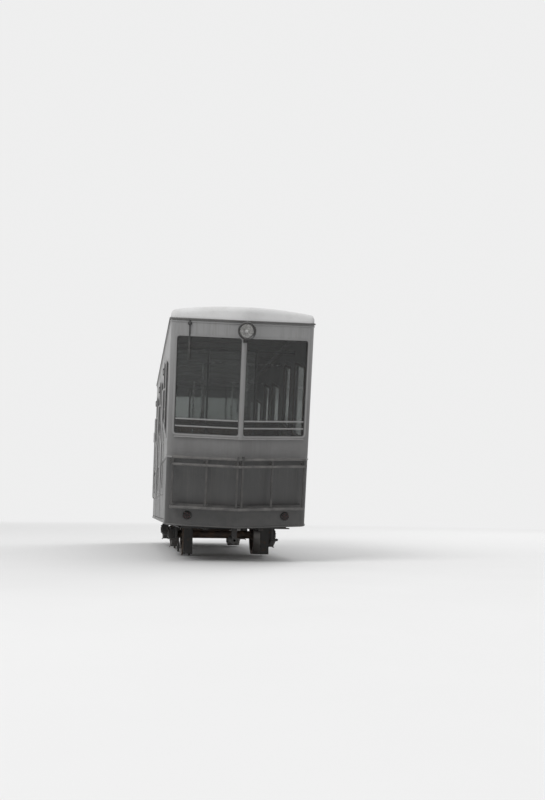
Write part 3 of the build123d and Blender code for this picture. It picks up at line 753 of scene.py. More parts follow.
class End(Wall):
    """An end wall, which is bowed, so that its face turns at the middle."""

    def __init__(self, name, sign):
        super().__init__(name, sign)
        self.turned = sign > 0
        self.sill = end_z(sign, PAINT_H + END_SILL[sign])
        self.head = end_z(sign, EAVE_H - END_HEAD_DROP)
        half = POST_W / 2
        self.panes = [(-END_PANE_X, -half, self.sill, self.head), (half, END_PANE_X, self.sill, self.head)]

    def at(self, u, v, out=0.0):
        return level(u, face_y(self.sign, u, out / math.cos(SWEEP)), v)

    def normal(self, u):
        return facing(math.copysign(math.sin(SWEEP), u), self.sign * math.cos(SWEEP), 0)

    def across(self, piece, edge, v, profile, out=0.0):
        """Sweep a profile across the end, between places as far as edge from its middle."""
        self.run(piece, [(-edge, v), (0.0, v), (edge, v)], profile, out=out)

    def wrap(self, piece, height, profile):
        """Sweep a profile round the end and its corners from seam to seam, at an upright height."""
        half = HALF_W - CORNER_R
        middle = HALF_L + BOW - CORNER_R / math.cos(SWEEP) - half * math.tan(SWEEP)
        plan = [(HALF_W, SEAM_Y)]
        for i in range(CORNER_STEPS + 1):
            turn = (math.pi / 2 - SWEEP) * i / CORNER_STEPS
            plan.append((half + CORNER_R * math.cos(turn), middle + CORNER_R * math.sin(turn)))
        plan = [(-x, y) for x, y in plan] + [(0.0, HALF_L + BOW)] + plan[::-1]
        points = [level(x, self.sign * y, end_z(self.sign, height)) for x, y in plan]
        normals = []
        for (xa, ya), (xb, yb) in zip(plan, plan[1:]):
            normals.append(facing(ya - yb, self.sign * (xb - xa), 0).normalized())
        piece.sweep(points, normals, profile)


def side_pane(k):
    y0 = FIRST + PITCH * k + WINDOW_Y
    return y0, y0 + BAY_W, floor_z(k) + SILL_UP, floor_z(k) + HEAD_UP


def door_box(k):
    y0 = FIRST + PITCH * k + DOOR_Y
    z = floor_z(k)
    return y0 + DOOR_GAP, y0 + BAY_W - DOOR_GAP, z + DOOR_GAP, z + HEAD_UP - DOOR_GAP


def door_pane(k):
    y0 = FIRST + PITCH * k + DOOR_Y
    z = floor_z(k)
    return y0 + STILE, y0 + BAY_W - STILE, z + SILL_UP, z + HEAD_UP - STILE


ENDS = (End("uphill", -1), End("downhill", 1))
SIDES = (Side("left", -1), Side("right", 1))
CABS = ((0, ENDS[0]), (2, ENDS[1]))


# Mouldings and seals, as (across, out) points; across is positive into the opening
FRAME = mm((-26, -1), (-26, 4), (-21, 8), (-4, 8), (0, 5), (0, -1))
SEAL = mm((-3, -19), (-3, 3), (1, 6), (7, 2), (9, -6), (9, -19))
INSIDE = mm((-36, 1), (-36, -8), (-31, -12), (0, -12), (4, -8), (4, 1))
END_INSIDE = [(max(across, -0.024), out) for across, out in INSIDE]
BEAD = raised_strip(0.011, 0.003, 0.007, 0.008, crown=0.010)
LIP = round_section(0.009, 0.006, 10, GUTTER_OUT - 0.001)


def pane_trim(name, material, wall, panes, profile, body="car", out=0.0):
    """One piece with the same moulding round each of the panes."""
    piece = Piece(name, material, body)
    for pane in panes:
        wall.run(piece, wall.loop(rounded_box(*pane)), profile, True, out)
    piece.done()


def window_trim():
    """Painted frame, rubber seal and varnished inner frame of every pane."""
    for wall in ENDS + SIDES:
        pane_trim(f"window_frame_{wall.name}", TRIM, wall, wall.panes, FRAME)
        pane_trim(f"window_seal_{wall.name}", RUBBER, wall, wall.panes, SEAL)
        inside = END_INSIDE if wall in ENDS else INSIDE
        pane_trim(f"inner_frame_{wall.name}", BENCH, wall, wall.panes, inside, out=-WALL)
    for wall in SIDES:
        for k, body in wall.doors:
            panes = [door_pane(k)]
            pane_trim(f"{body}_frame", TRIM, wall, panes, FRAME, body)
            pane_trim(f"{body}_seal", RUBBER, wall, panes, SEAL, body)
            pane_trim(f"{body}_inner_frame", BENCH, wall, panes, INSIDE, body, -DOOR_T)


def line_round(name, material, height, profile):
    """Moulding round the ends and along the sides, at an upright height above the rails, clear of doors."""
    for wall in ENDS:
        piece = Piece(f"{name}_{wall.name}", material)
        wall.wrap(piece, height, profile)
        piece.done()
    for wall in SIDES:
        piece = Piece(f"{name}_{wall.name}", material)
        edges = [-SEAM_Y]
        for k in range(3):
            u0, u1, v0, v1 = door_box(k)
            if level_z(u0, height) > v0 and level_z(u1, height) < v1:
                edges += [u0 - JAMB_CLEAR, u1 + HINGE_CLEAR]
        edges.append(SEAM_Y)
        for a, b in zip(edges[::2], edges[1::2]):
            wall.run(piece, [(a, level_z(a, height)), (b, level_z(b, height))], profile)
        piece.done()


def posts_and_sills():
    """Cover strip on each end's middle post and a drip sill under its windows."""
    strip = raised_strip(0.030, 0.006, 0.022, 0.012, crown=0.014)
    drip = mm((-12, -1), (-12, 20), (-6, 26), (4, 22), (12, -1))
    for wall in ENDS:
        end = wall.sign
        low = wall.sill - 0.030
        high = wall.head + 0.050
        post = Piece(f"centre_post_{wall.name}", TRIM)
        post.skin([[level(u, face_y(end, u, out), v) for u, out in strip] for v in (low, high)])
        for i in range(7):
            v = low + 0.050 + (high - low - 0.100) * i / 6
            post.rivet(spot(level(0, face_y(end, 0, 0.013), v), facing(0, end, 0), UP), 0.005)
        post.done()
        sill = Piece(f"sill_{wall.name}", TRIM)
        wall.across(sill, HALF_W - 0.085, wall.sill - 0.034, drip)
        sill.done()


def lamp_details():
    """Rim, fluted lens, reflector, bulb, three clips and cable of each headlamp."""
    inner = LAMP_R - RIM_W
    edge = [(LAMP_R + wide, out) for wide, out in mm((-3, 0), (4, 3), (4, 20), (-1, 30))]
    edge += [(inner + wide, out) for wide, out in mm((4, 32), (-4, 27), (-4, 20), (0, 15))]
    front = ((inner - 0.001, 0.0), (inner - 0.001, 0.018), (0.8 * inner, 0.024), (0.6 * inner, 0.028),
             (0.3 * inner, 0.031), (0.04 * inner, 0.032))
    globe = mm((11, -71), (11, -56), (17, -45), (19, -34), (16, -24), (9, -17), (2, -15))
    hang = mm((46, 30), (29, 60), (16, 95), (8, 130), (-2, 150), (-10, 152))
    dish = []
    for i in range(11):
        r = BULB_HOLE + (inner - 0.004 - BULB_HOLE) * i / 10
        dish.append((r, -DISH_DEPTH + (DISH_DEPTH - 0.003) * (r / inner) ** 2))
    dish += [(r, h - DISH_T) for r, h in reversed(dish)]
    lens = Piece("headlamp_lenses", LENS)
    for wall in ENDS:
        name = wall.name
        z = end_z(wall.sign, EAVE_H - LAMP_DROP)
        apex = wall.sign * (HALF_L + BOW)
        out = facing(0, wall.sign, 0)
        place = spot(level(0, apex + wall.sign * (LAMP_OUT + LAMP_L), z), out, UP)
        rim = Piece(f"lamp_rim_{name}", BLACK)
        rim.lathe(place, edge, 40, True)
        rim.done()
        rings = [circle(place, r, h, FLUTES * 4) for r, h in front]
        for ring in rings[2:5]:
            for i, point in enumerate(ring):
                point += out * FLUTE_H * math.cos(math.tau * i / 4)
        lens.skin(rings)
        mirror = Piece(f"lamp_reflector_{name}", MIRROR)
        mirror.lathe(place, dish, 48, True)
        mirror.done()
        bulb = Piece(f"lamp_bulb_{name}", PEARL)
        bulb.lathe(place, globe)
        bulb.done()
        clips = Piece(f"lamp_clip_{name}", CHROME)
        middle = place @ Vector((0, 0, 0.012))
        for at in circle(place, LAMP_R + 0.003, 0.012, 3, 90):
            clips.bolt(spot(at, at - middle, out), 0.004, 0.005)
        clips.done()
        cable = Piece(f"lamp_cable_{name}", RUBBER)
        cable.tube([level(0.036, apex + wall.sign * off, z - drop) for off, drop in hang], 0.006, 10)
        cable.done()
    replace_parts(lens.done(), "headlamp_glasses")


def marker_details():
    """Bezel with four screws round each small lamp in the skirt."""
    ring = [(MARKER_R + wide, out) for wide, out in mm((12, -1), (12, 6), (6, 22), (1, 24), (1, -1))]
    for wall in ENDS:
        bezel = Piece(f"marker_bezel_{wall.name}", BLACK)
        for u in (MARKER_IN - HALF_W, HALF_W - MARKER_IN):
            place = wall.spot(u, end_z(wall.sign, SKIRT_H + MARKER_UP))
            bezel.lathe(place, ring, 32, True)
            for at in circle(place, MARKER_R + 0.0085, 0.008, 4, 45):
                bezel.rivet(spot(at, wall.normal(u), UP), 0.0022)
        bezel.done()


def wiper_details():
    """Blade on its arm and the spindle boss over each driver's window."""
    rubber_edge = raised_strip(0.009, 0.006, 0.003, 0.0135, base=0.001)
    for wall in ENDS:
        u = wall.sign * (HALF_W - WIPER_IN)
        top = end_z(wall.sign, EAVE_H)
        blade = Piece(f"wiper_blade_{wall.name}", RUBBER)
        wall.run(blade, [(u + 0.012, top - WIPER_L + 0.012), (u + 0.012, top - 0.215)], rubber_edge)
        blade.done()
        boss = Piece(f"wiper_boss_{wall.name}", RUBBER)
        place = wall.spot(u, top - 0.040, 0.010)
        boss.lathe(place, mm((26, -11), (26, 8), (20, 16), (8, 20)), 24)
        boss.done()


def oval(width, height, steps=16):
    """Rounded tube section, height across and width outwards, about its middle."""
    points = []
    for i in range(steps):
        turn = math.tau * (i + 0.5) / steps
        pair = [math.copysign(abs(part) ** 0.6, part) for part in (math.cos(turn), math.sin(turn))]
        points.append((height / 2 * pair[0], width / 2 * pair[1]))
    return points


def rack_details():
    """End racks with rounded rails, flat posts and arms, wall plates, a slatted ledge, clamps and bolts."""
    edge = HALF_W - RACK_SIDE
    mid = RACK_OUT - RAIL_W / 2
    half = RACK_POST / 2
    deep = RACK_OUT / 2
    thick = LEDGE_T / 2
    posts = [side * x for side in BOTH for x in (*RACK_POST_X, edge - half)]
    tray = ((-thick, -deep), (-thick, deep - 0.010), (0.008 - thick, deep), (thick - 0.006, deep),
            (thick, deep - 0.006), (thick, -deep))
    slat = raised_strip(0.012, 0.006, 0.009, 0.009, base=0.0)
    for wall in ENDS:
        name = wall.name
        end = wall.sign
        top = end_z(end, PAINT_H + RACK_RISE)
        ledge = top - LEDGE_DROP
        arm = top - RAIL_STEP
        # The rails take the lighter copy of the rack steel, a painted highlight.
        rails = Piece(f"rack_rails_{name}", RAIL_LIT)
        for v in (top - RAIL_H / 2, arm - RAIL_H / 2):
            wall.across(rails, edge, v, oval(RAIL_W, RAIL_H), mid)
        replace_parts(rails.done(), f"rack_{name}")
        bars = Piece(f"rack_posts_{name}", RACK)
        for u in posts:
            post = wall.spot(u, (top + ledge) / 2, mid)
            bars.slab(post, half, LEDGE_DROP / 2 - 0.004, -half, half - 0.002)
            foot = wall.spot(u, arm - ARM_H / 2)
            bars.slab(foot, half - 0.002, ARM_H / 2, -0.002, mid)
            bars.slab(foot, 0.030, 0.034, -0.001, 0.006)
            bars.bolt(wall.spot(u, arm - RAIL_H / 2, RACK_OUT - 0.002), 0.007, 0.006)
            for x, y in product((-0.020, 0.020), (-0.024, 0.024)):
                bars.rivet(wall.spot(u + x, arm - ARM_H / 2 + y, 0.006), 0.005)
        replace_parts(bars.done(0.003), f"rack_{name}")
        # The ledge takes the same lighter rack steel, a painted highlight.
        shelf = Piece(f"rack_ledge_{name}", RAIL_LIT)
        section = [(-end * across, out) for across, out in tray]
        wall.across(shelf, edge, ledge - thick, section, deep)
        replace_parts(shelf.done(0.002), f"rack_{name}")
        clamps = Piece(f"rack_clamps_{name}", RACK)
        for u in (-RACK_POST_X[0], RACK_POST_X[0]):
            clamps.box(wall.spot(u, top, mid), (-0.014, -RAIL_H - 0.004, -0.018), (0.014, 0.020, 0.0175))
        clamps.done(0.003)
        slats = Piece(f"ledge_slats_{name}", RACK)
        for i in range(4):
            reach = edge - 0.010
            path = [wall.at(u, ledge - 0.001, 0.022 + 0.034 * i) for u in (-reach, 0.0, reach)]
            slats.sweep(path, [UP, UP], slat)
        slats.done()


def door_details():
    """Panel bead, kick plate and lock outside each door, its inner panel and pull, and its hinge screws."""
    bead = raised_strip(0.008, 0.003, 0.004, 0.006)
    rose = mm((17, -1), (17, 3), (12, 6), (6, 7))
    keyhole = mm((14, -1), (14, 4), (11, 6), (5, 6), (5, 3))
    bend = mm((-70, 0), (-66, 28), (-50, 36), (50, 36), (66, 28), (70, 0))
    for wall in SIDES:
        for k, body in wall.doors:
            u0, u1, v0 = door_box(k)[:3]
            middle = (u0 + u1) / 2
            half = (u1 - u0) / 2
            handle = u0 - DOOR_GAP + STILE / 2
            panel = Piece(f"{body}_panel", LOWER_TRIM, body)
            path = [(u0 + 0.020, v0 + 0.020), (u1 - 0.020, v0 + 0.020), (u1 - 0.020, v0 + 0.800),
                    (u0 + 0.020, v0 + 0.800)]
            wall.run(panel, wall.loop(path), bead, True)
            panel.done()
            kick = Piece(f"{body}_kick_plate", KICK, body)
            place = wall.spot(middle, v0 + 0.115)
            kick.slab(place, half - 0.045, 0.070, -0.001, 0.0015)
            for x, y in product((0.065 - half, 0.0, half - 0.065), (-0.055, 0.055)):
                kick.rivet(place @ Matrix.Translation((x, y, 0.0012)), 0.004)
            kick.done(0.0006)
            lock = Piece(f"{body}_lock", CHROME, body)
            v = floor_z(k) + HANDLE_UP
            for foot in (v - 0.081, v + 0.081):
                lock.lathe(wall.spot(handle, foot), rose)
            lock.lathe(wall.spot(handle, v - 0.150), keyhole)
            lock.done()
            inside = Piece(f"{body}_inner_panel", BENCH, body)
            place = spot(wall.at(middle, v0 + 0.430, -DOOR_T), -wall.normal(middle), UP)
            inside.slab(place, half - 0.085, 0.340, -0.001, 0.008)
            inside.done(0.004)
            pull = Piece(f"{body}_inner_pull", CHROME, body)
            pull.tube([wall.at(handle, v0 + 1.020 + up, -DOOR_T - out) for up, out in bend], 0.006)
            pull.done()
            screws = Piece(f"{body}_screws", CHROME, body)
            jamb = u1 + DOOR_GAP / 2
            for up, (back, off) in product(HINGE_UP, mm((28, -8), (46, 12), (62, -8))):
                screws.rivet(wall.spot(jamb - back, floor_z(k) + up + off, STRAP_T), HINGE_SCREW)
            screws.done()


def door_frames():
    """Hinge screws on the wall and a grooved threshold plate in each door opening."""
    for wall in SIDES:
        screws = Piece(f"hinge_screws_{wall.name}", CHROME)
        sills = Piece(f"door_thresholds_{wall.name}", KICK)
        x0, x1 = sorted((wall.sign * 0.780, wall.sign * (HALF_W - DOOR_T - 0.002)))
        for k in range(3):
            u0, u1 = door_box(k)[:2]
            jamb = u1 + DOOR_GAP / 2
            for up, near, back in product(HINGE_UP, (-0.041, 0.041), (0.034, 0.056)):
                screws.rivet(wall.spot(jamb + back, floor_z(k) + up + near, STRAP_T), HINGE_SCREW)
            place = TILT @ Matrix.Translation((0, (u0 + u1) / 2, floor_z(k)))
            half = (u1 - u0) / 2
            sills.box(place, (x0, -half, -0.0005), (x1, half, 0.003))
            for i in range(5):
                x = x0 + 0.012 + 0.0145 * i
                sills.box(place, (x - 0.003, 0.010 - half, 0.002), (x + 0.003, half - 0.010, 0.0048))
        screws.done()
        sills.done(0.0006)


def roof_rise(x, inside=0.0):
    """Height of the roof's arch above the gutter's top, at a place across and this far inside its skin."""
    half = HALF_W - inside
    rise = ROOF_CROWN - ROOF_SIDE
    bend = (half * half + rise * rise) / (2 * rise)
    return ROOF_SIDE - inside + rise - bend + math.sqrt(bend * bend - x * x)


def roof_places(steps):
    return [ROOF_EDGE * (2 * i / steps - 1) for i in range(steps + 1)]


def arch(piece, y, places, section, inside=0.0):
    """Strip that follows the roof's arch across the car, with a section of (along, up) points."""
    rings = []
    for x in places:
        rise = roof_rise(x, inside)
        rings.append([level(x, y + along, level_z(y + along, EAVE_H + GUTTER_T) + rise + up)
                      for along, up in section])
    piece.skin(rings)


def ceiling():
    """Boarded lining under the roof, with a bow across it every half metre and a cornice down each side."""
    places = roof_places(24)
    sheet = ((-1, -0.012), (1, -0.012), (1, -0.004), (-1, -0.004))
    lining = Piece("ceiling_lining", CEILING)
    arch(lining, 0.0, places, [(SEAM_Y * way, up) for way, up in sheet], ROOF_T)
    for wall in ENDS:
        base = end_z(wall.sign, EAVE_H + GUTTER_T)
        rings = []
        for x in places:
            span = {-1: wall.sign * SEAM_Y, 1: face_y(wall.sign, x, -0.060)}
            rise = base + roof_rise(x, ROOF_T)
            rings.append([level(x, span[way], rise + up) for way, up in sheet])
        lining.skin(rings)
    lining.done()
    bows = Piece("ceiling_bows", CEILING)
    for i in range(13):
        section = mm((-20, -11), (20, -11), (16, -34), (-16, -34))
        arch(bows, -3.0 + 0.5 * i, places[::2], section, ROOF_T)
    bows.done(0.003)
    section = mm((0, 0), (0, 75), (10, 60), (40, 22), (60, 12), (66, 0))
    for wall in SIDES:
        cornice = Piece(f"cornice_{wall.name}", CEILING)
        rings = []
        for y in (0.020 - SEAM_Y, SEAM_Y - 0.020):
            base = level_z(y, EAVE_H) - 0.020
            rings.append([level(wall.sign * (INNER - across), y, base + up) for across, up in section])
        cornice.skin(rings)
        cornice.done()


def roof_seams():
    """Low cover strips across the roof, one at each sheet joint."""
    seams = Piece("roof_seams", ROOF)
    section = mm((-24, -3), (-20, 3.5), (20, 3.5), (24, -3))
    for i in range(6):
        arch(seams, -2.625 + 1.050 * i, roof_places(20), section)
    seams.done()


def cab_screens():
    """Screen behind each driver's place: top rail on two posts, glazed over a boarded panel in two bays."""
    poles = Piece("cab_frames", POLE)
    boards = Piece("cab_boards", BENCH)
    panes = Piece("cab_panes", SCREEN_GLASS)
    foot = mm((38, -1), (38, 4), (22, 7), (19, 30))
    collar = mm((20, 0), (22, 4), (22, 50), (20, 54))
    rose = mm((36, -1), (36, 4), (21, 7), (18, 26))
    for k, wall in CABS:
        end = wall.sign
        y = FIRST + PITCH * k + (WINDOW_Y + BAY_W + DOOR_Y) / 2
        z = floor_z(k)
        high = z + CAB_RAIL_UP
        waist = z + CAB_WAIST_UP
        poles.tube([level(x, y, high) for x in (-INNER, INNER)], POLE_R, 16)
        poles.tube([level(x, y, waist) for x in sorted((end * INNER, -end * POLE_X))], 0.012)
        for side in BOTH:
            x = side * POLE_X
            poles.tube([level(x, y, z), level(x, y, high)], POLE_R, 16)
            poles.lathe(upright(x, y, z), foot)
            poles.lathe(upright(x, y, high - 0.028), collar)
            poles.lathe(spot(level(side * INNER, y, high), (-side, 0, 0), UP), rose)
        place = TILT @ Matrix.Translation((0, y, 0))
        edge = POLE_X - POLE_GAP
        for bay in ((end * (INNER - 0.004), end * (POLE_X + POLE_GAP)), (end * edge, -end * edge)):
            x0, x1 = sorted(bay)
            panes.box(place, (x0, -0.003, waist + 0.014), (x1, 0.003, high - POLE_GAP))
            count = max(3, round((x1 - x0) / CAB_BOARD_W))
            for i in range(count):
                a = x0 + (x1 - x0) * i / count + 0.0015
                b = x0 + (x1 - x0) * (i + 1) / count - 0.0015
                boards.box(place, (a, -0.009, z + 0.008), (b, 0.009, waist - 0.013))
    poles.done()
    boards.done(0.002)
    panes.done()


def side_handrails():
    """Long handrails with feet beside the doors, read from the light lines on the photograph's left side."""
    bend = mm((0, 0), (4, 20), (16, 32), (34, 36), (60, 36))
    foot = mm((24, -1), (24, 4), (16, 8), (11, 9))
    stay = mm((16, -1), (16, 4), (6, 7), (6, 34))
    for wall in SIDES:
        rails = Piece(f"side_handrails_{wall.name}", HANDRAIL)
        for k in range(3):
            u = door_box(k)[0] - 0.075
            low = floor_z(k) - 0.060
            high = floor_z(k) + 1.420
            path = [wall.at(u, low + rise, out) for rise, out in bend]
            path += [wall.at(u, high - rise, out) for rise, out in reversed(bend)]
            rails.tube(path, 0.011, 16)
            rails.lathe(wall.spot(u, (low + high) / 2), stay, 16)
            for v in (low, high):
                rails.lathe(wall.spot(u, v), foot)
                for across in (-0.018, 0.018):
                    rails.rivet(wall.spot(u + across, v, 0.004), 0.004)
        rails.done()


def beside_door(u):
    """Whether a place along the car is at a door that crosses the belt there."""
    for k in range(3):
        u0, u1, v0 = door_box(k)[:3]
        if u0 - 0.030 < u < u1 + HINGE_CLEAR and level_z(u, PAINT_H) > v0 - 0.050:
            return True
    return False


def body_rivets():
    """Rivet lines under the belt and along the skirt, and cover strips where side panels meet."""
    strip = raised_strip(0.022, 0.0018, 0.018, 0.003)
    first = 0.060 - SEAM_Y
    places = [first + RIVET_STEP * i for i in range(math.ceil((SEAM_Y - 0.020 - first) / RIVET_STEP))]
    for wall in SIDES:
        skirt = Piece(f"skirt_rivets_{wall.name}", LOWER)
        belt = Piece(f"belt_rivets_{wall.name}", LOWER)
        for y in places:
            skirt.rivet(wall.spot(y, level_z(y, SKIRT_H + SKIRT_RIVET_UP)), BODY_RIVET)
            if not beside_door(y):
                belt.rivet(wall.spot(y, level_z(y, PAINT_H - 0.040)), BODY_RIVET)
        skirt.done()
        belt.done()
        upper = ("upper", UPPER, PAINT_H + 0.013, EAVE_H - 0.034)
        lower = ("lower", LOWER, SKIRT_H + 0.030, PAINT_H - 0.013)
        for name, material, low, high in (upper, lower):
            piece = Piece(f"panel_strips_{name}_{wall.name}", material)
            for k in (1, 2):
                y = FIRST + PITCH * k
                wall.run(piece, [(y, level_z(y, low)), (y, level_z(y, high))], strip)
            piece.done()
    for wall in ENDS:
        skirt = Piece(f"skirt_rivets_{wall.name}", LOWER)
        for i in (*range(-7, 0), *range(1, 8)):
            skirt.rivet(wall.spot(0.112 * i, end_z(wall.sign, SKIRT_H + SKIRT_RIVET_UP)), BODY_RIVET)
        skirt.done()


def desk_details():
    """Two blank-faced gauges, front panels, a lever and the hand wheel's grip on each driver's desk."""
    case = mm((30, -40), (46, -20), (46, 14), (41, 16), (40, 11), (4, 10))
    face = mm((39, 10.2), (39, 11.8), (3, 12))
    handle = mm((9, 0), (14, 12), (16, 40), (13, 66), (6, 74))
    boss = mm((34, -1), (34, 10), (24, 22), (10, 26))
    ball = mm((7, 0), (15, 8), (18, 20), (14, 32), (5, 37))
    for k, wall in CABS:
        name = wall.name
        end = wall.sign
        z = floor_z(k) + DESK_UP
        x0 = end * (INNER - DESK_IN - DESK_HALF)
        y0 = end * (HALF_L - WALL - DESK_DEEP / 2)
        cases = Piece(f"desk_gauges_{name}", BLACK)
        dials = Piece(f"desk_dials_{name}", DIAL)
        for way in BOTH:
            place = spot(level(x0 + way * 0.198, y0 + end * 0.050, z + 0.030), facing(0, -end, 1.1), UP)
            cases.lathe(place, case, 28)
            dials.lathe(place, face, 28)
            for i in range(9):
                tick = place @ Matrix.Rotation(math.radians(30 * i - 30), 4, "Z")
                cases.box(tick, (0.028, -0.0012, 0.0118), (0.036, 0.0012, 0.0126))
            needle = place @ Matrix.Rotation(math.radians(70 + 40 * way), 4, "Z")
            cases.box(needle, (-0.008, -0.0012, 0.0122), (0.029, 0.0012, 0.0132))
        cases.done()
        dials.done()
        panel = Piece(f"desk_panel_{name}", DESK)
        place = spot(level(x0, y0 - end * DESK_DEEP / 2, z - DESK_UP / 2), facing(0, -end, 0), UP)
        panel.slab(place, 0.200, 0.330, -0.001, 0.008)
        panel.box(place, (-DESK_HALF, 0.395, -0.001), (DESK_HALF, DESK_UP / 2, 0.010))
        panel.box(place, (-DESK_HALF, -DESK_UP / 2, -0.001), (DESK_HALF, -0.385, 0.006))
        for height in (-0.240, 0.240):
            panel.box(place, (-0.222, height - 0.030, -0.001), (-0.196, height + 0.030, 0.012))
        panel.done(0.004)
        grip = Piece(f"handwheel_grip_{name}", BENCH)
        grip.lathe(upright(x0 + 0.122, y0 - end * 0.040, z + 0.060), handle)
        grip.done()
        lever = Piece(f"desk_lever_{name}", CHROME)
        x = x0 - 0.205
        y = y0 - end * 0.060
        lever.lathe(upright(x, y, z), boss, 24)
        bend = mm((0, 20), (12, 80), (30, 130))
        lever.tube([level(x, y - end * back, z + up) for back, up in bend], 0.007)
        lever.lathe(upright(x, y - end * 0.030, z + 0.124), ball)
        lever.done()


def bench_bolts():
    """Round-headed bolts where the slats cross their frames."""
    for k in (1, 2):
        bolts = Piece(f"bench_bolts_{LEVELS[k]}", CHROME)
        y = FIRST + PITCH * k + 0.0003
        for x in (0.020 - INNER, -POLE_X, POLE_X, INNER - 0.020):
            for i in range(5):
                place = upright(x, y + 0.430 - SEAT_STEP * i - SLAT_HALF, floor_z(k) + SEAT_UP)
                bolts.rivet(place, BENCH_BOLT)
            for i in range(3):
                at = level(x, y + 0.064, floor_z(k) + BACK_UP - BACK_STEP * i - SLAT_HALF)
                bolts.rivet(spot(at, facing(0, 1, 0), UP), BENCH_BOLT)
        bolts.done()


def brake_details():
    """Brake pipes along the frame, links to the rail brakes, and the bolts of the brakes' jaws."""
    pipes = Piece("brake_pipes", GRIME)
    for x, radius in mm((-360, 11), (360, 11), (325, 7)):
        pipes.tube([(x, y, GIRDER_Z - 0.012) for y in PIPE_Y], radius)
    for x, y in product((-0.360, 0.343), (PIPE_Y[0] + 0.020, *TRANSOM_Y, PIPE_Y[1] - 0.020)):
        pipes.slab(Matrix.Translation((x, y, GIRDER_Z)), 0.034, 0.015, -0.026, 0.001)
    pipes.done(0.002)
    links = Piece("brake_links", GRIME)
    for y in TRANSOM_Y[1:3]:
        inner = JAW_OUT - RAIL_X
        inboard = y - math.copysign(0.120, y)
        path = [(inner - 0.006, y, JAW_Z), (inner + 0.050, y, JAW_Z), (-0.360, inboard, CRANK_Z),
                (-0.278, inboard, CRANK_Z)]
        links.tube(path, 0.010)
        outer_nut = mm((20, 0), (20, 12), (14, 18))
        inner_nut = mm((24, 0), (24, 10), (16, 14))
        links.lathe(spot((inner - 0.002, y, JAW_Z), (1, 0, 0)), outer_nut, 6)
        links.lathe(spot((-0.281, inboard, CRANK_Z), (-1, 0, 0)), inner_nut, 6)
        for way, z in product(BOTH, (0.060, 0.150, 0.390)):
            links.bolt(spot((way * JAW_OUT - RAIL_X, y, z), (way, 0, 0)), 0.009, 0.010)
    links.done()


def frame_details():
    """Rail guard stays, corner gussets, rivets along the girders and bolts on the rope sockets."""
    stays = Piece("guard_stays", GRIME)
    bend = mm((46, 150), (26, 165), (-30, 400), (-30, 421))
    for end, x in product(BOTH, (-RAIL_X, RAIL_X)):
        y = end * TRANSOM_Y[3]
        stays.tube([(x, y + end * off, z) for off, z in bend], 0.009, 10)
        for z, off in product((0.140, 0.460, 0.540), (-0.035, 0.035)):
            stays.bolt(spot((x + off, y + end * 0.059, z), (0, end, 0)), 0.008, 0.009)
    stays.done()
    gussets = Piece("frame_gussets", GRIME)
    for y, side, way in product(TRANSOM_Y, BOTH, BOTH):
        edge = side * (GIRDER_X - GIRDER_W / 2)
        face = y + way * TRANSOM_W / 2
        corner = ((edge, face), (edge - side * GUSSET, face), (edge, face + way * GUSSET))
        gussets.skin([[(a, b, GIRDER_Z + up) for a, b in corner] for up in (0.004, GIRDER_T)])
    gussets.done()
    for wall in SIDES:
        rivets = Piece(f"girder_rivets_{wall.name}", GRIME)
        x = wall.sign * (GIRDER_X - GIRDER_W / 2 + GIRDER_T)
        for i, z in product(range(40), (GIRDER_Z + 0.030, GIRDER_Z + GIRDER_H - 0.030)):
            rivets.rivet(spot((x, GIRDER_RIVET_STEP * i - 2.900, z), (wall.sign, 0, 0)), 0.009)
        rivets.done()
    sockets = Piece("socket_bolts", GRIME)
    for y, side, z in product((-3.295, 3.050), BOTH, (0.345, 0.385)):
        sockets.bolt(spot((side * 0.030, y, z), (side, 0, 0)), 0.009, 0.010)
    sockets.done()


def running_gear():
    """Pins and clips of the springs, cap and bolts of the axle boxes, and bolts on the wheel hubs."""
    pin = ((0.019, 0.0), (0.019, 0.090))
    nut = mm((15, -1), (15, 12), (12, 15))
    cap = mm((30, -1), (30, 6), (22, 12))
    for wall in SIDES:
        side = wall.sign
        out = (side, 0, 0)
        pins = Piece(f"spring_pins_{wall.name}", SPRING)
        covers = Piece(f"box_bolts_{wall.name}", GRIME)
        clips = Piece(f"spring_clips_{wall.name}", SPRING)
        for y in (-AXLE_Y, AXLE_Y):
            middle = spot((side * (BOX_FACE + CAP_T), y, AXLE_Z), out)
            covers.lathe(middle, cap, 24)
            for at in circle(middle, 0.055, 0.0, 6, 30):
                covers.bolt(spot(at, out), 0.008, 0.010)
            for eye in (y - EYE_OUT, y + EYE_OUT):
                pins.lathe(spot((side * 0.660, eye, EYE_Z), out), pin, 18)
                pins.lathe(spot((side * 0.750, eye, EYE_Z), out), nut, 6)
            for way, off in product(BOTH, (-0.052, 0.052)):
                at = (side * 0.700 + off, y + way * 0.030, CLIP_Z)
                clips.bolt(spot(at, (0, 0, -1), (0, 1, 0)), 0.007, 0.012)
        pins.done()
        covers.done()
        clips.done()
    for wall in ENDS:
        hubs = Piece(f"hub_bolts_{wall.name}", GRIME, f"wheelset_{wall.name}", "wheel_steel")
        for (x, half), way in product(((-RAIL_X, 0.061), (RAIL_X, 0.100)), BOTH):
            middle = spot((x + way * half, wall.sign * AXLE_Y, AXLE_Z), (way, 0, 0))
            for at in circle(middle, 0.068, 0.0, 8, 22.5):
                hubs.bolt(spot(at, (way, 0, 0)), 0.006, 0.007)
        hubs.done()


# Stage
FLOOR_TONE = 0.80
BACK_TONE = 0.86
FILL = 0.50


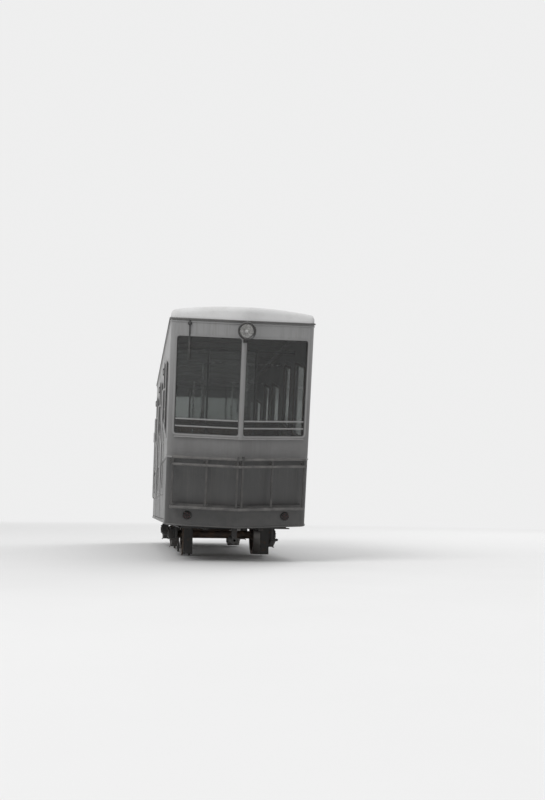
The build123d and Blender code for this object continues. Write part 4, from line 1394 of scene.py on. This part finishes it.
def make_stage():
    """Pale floor that fades into the backdrop far from the car, and an even world light."""
    g = Graph("stage_floor")
    mottle = g.range(g.noise(0.8, 3.0), 0.3, 0.7)
    g.finish(g.mix(mottle, grey(FLOOR_TONE * 0.985), grey(FLOOR_TONE)), 0.85, 0.0)
    fade = g.times(g.range(g.length(g.axis("X"), g.axis("Y")), 9.0, 30.0), g.seen())
    g.blend(fade, g.shader, g.node("ShaderNodeEmission", ((0, (*grey(BACK_TONE), 1.0)),)))
    bpy.ops.mesh.primitive_plane_add(size=600.0, location=(0, 0, 0))
    floor = bpy.context.object
    floor.name = "floor"
    floor.data.materials.append(g.mat)
    w = WorldGraph("studio")
    fill = w.node("ShaderNodeBackground", ((0, (1, 1, 1, 1)), (1, FILL)))
    w.blend(w.seen(), fill, w.node("ShaderNodeBackground", ((0, (*grey(BACK_TONE), 1.0)), (1, 1.0))))


def softbox(name, at, aim, size, watts):
    light = bpy.data.lights.new(name, "AREA")
    light.shape = "RECTANGLE"
    light.size = size[0]
    light.size_y = size[1]
    light.energy = watts
    obj = bpy.data.objects.new(name, light)
    bpy.context.scene.collection.objects.link(obj)
    obj.location = at
    obj.rotation_euler = (Vector(aim) - Vector(at)).to_track_quat("-Z", "Y").to_euler()


def make_lights():
    softbox("key", (-16.0, -20.0, 22.0), (0, 0, 1.5), (15, 15), 4500)
    softbox("top", (4.0, 2.0, 30.0), (0, 0, 0), (18, 22), 2000)
    softbox("back", (16.0, 18.0, 16.0), (0, 0, 1.5), (12, 12), 1700)


make_camera()
make_stage()
make_lights()
dress_nodes()
window_trim()
posts_and_sills()
lamp_details()
marker_details()
wiper_details()
rack_details()
door_details()
door_frames()
ceiling()
roof_seams()
cab_screens()
side_handrails()
body_rivets()
desk_details()
bench_bolts()
brake_details()
frame_details()
running_gear()
line_round("belt_bead", TRIM, PAINT_H, BEAD)
line_round("skirt_bead", LOWER_TRIM, SKIRT_H + 0.012, BEAD)
line_round("header_bead", TRIM, EAVE_H - 0.020, BEAD)
# The gutter lip carries the same painted shade.
line_round("gutter_lip", GUTTER_SHADE, EAVE_H + GUTTER_T / 2, LIP)

bpy.context.scene.view_settings.view_transform = "Standard"
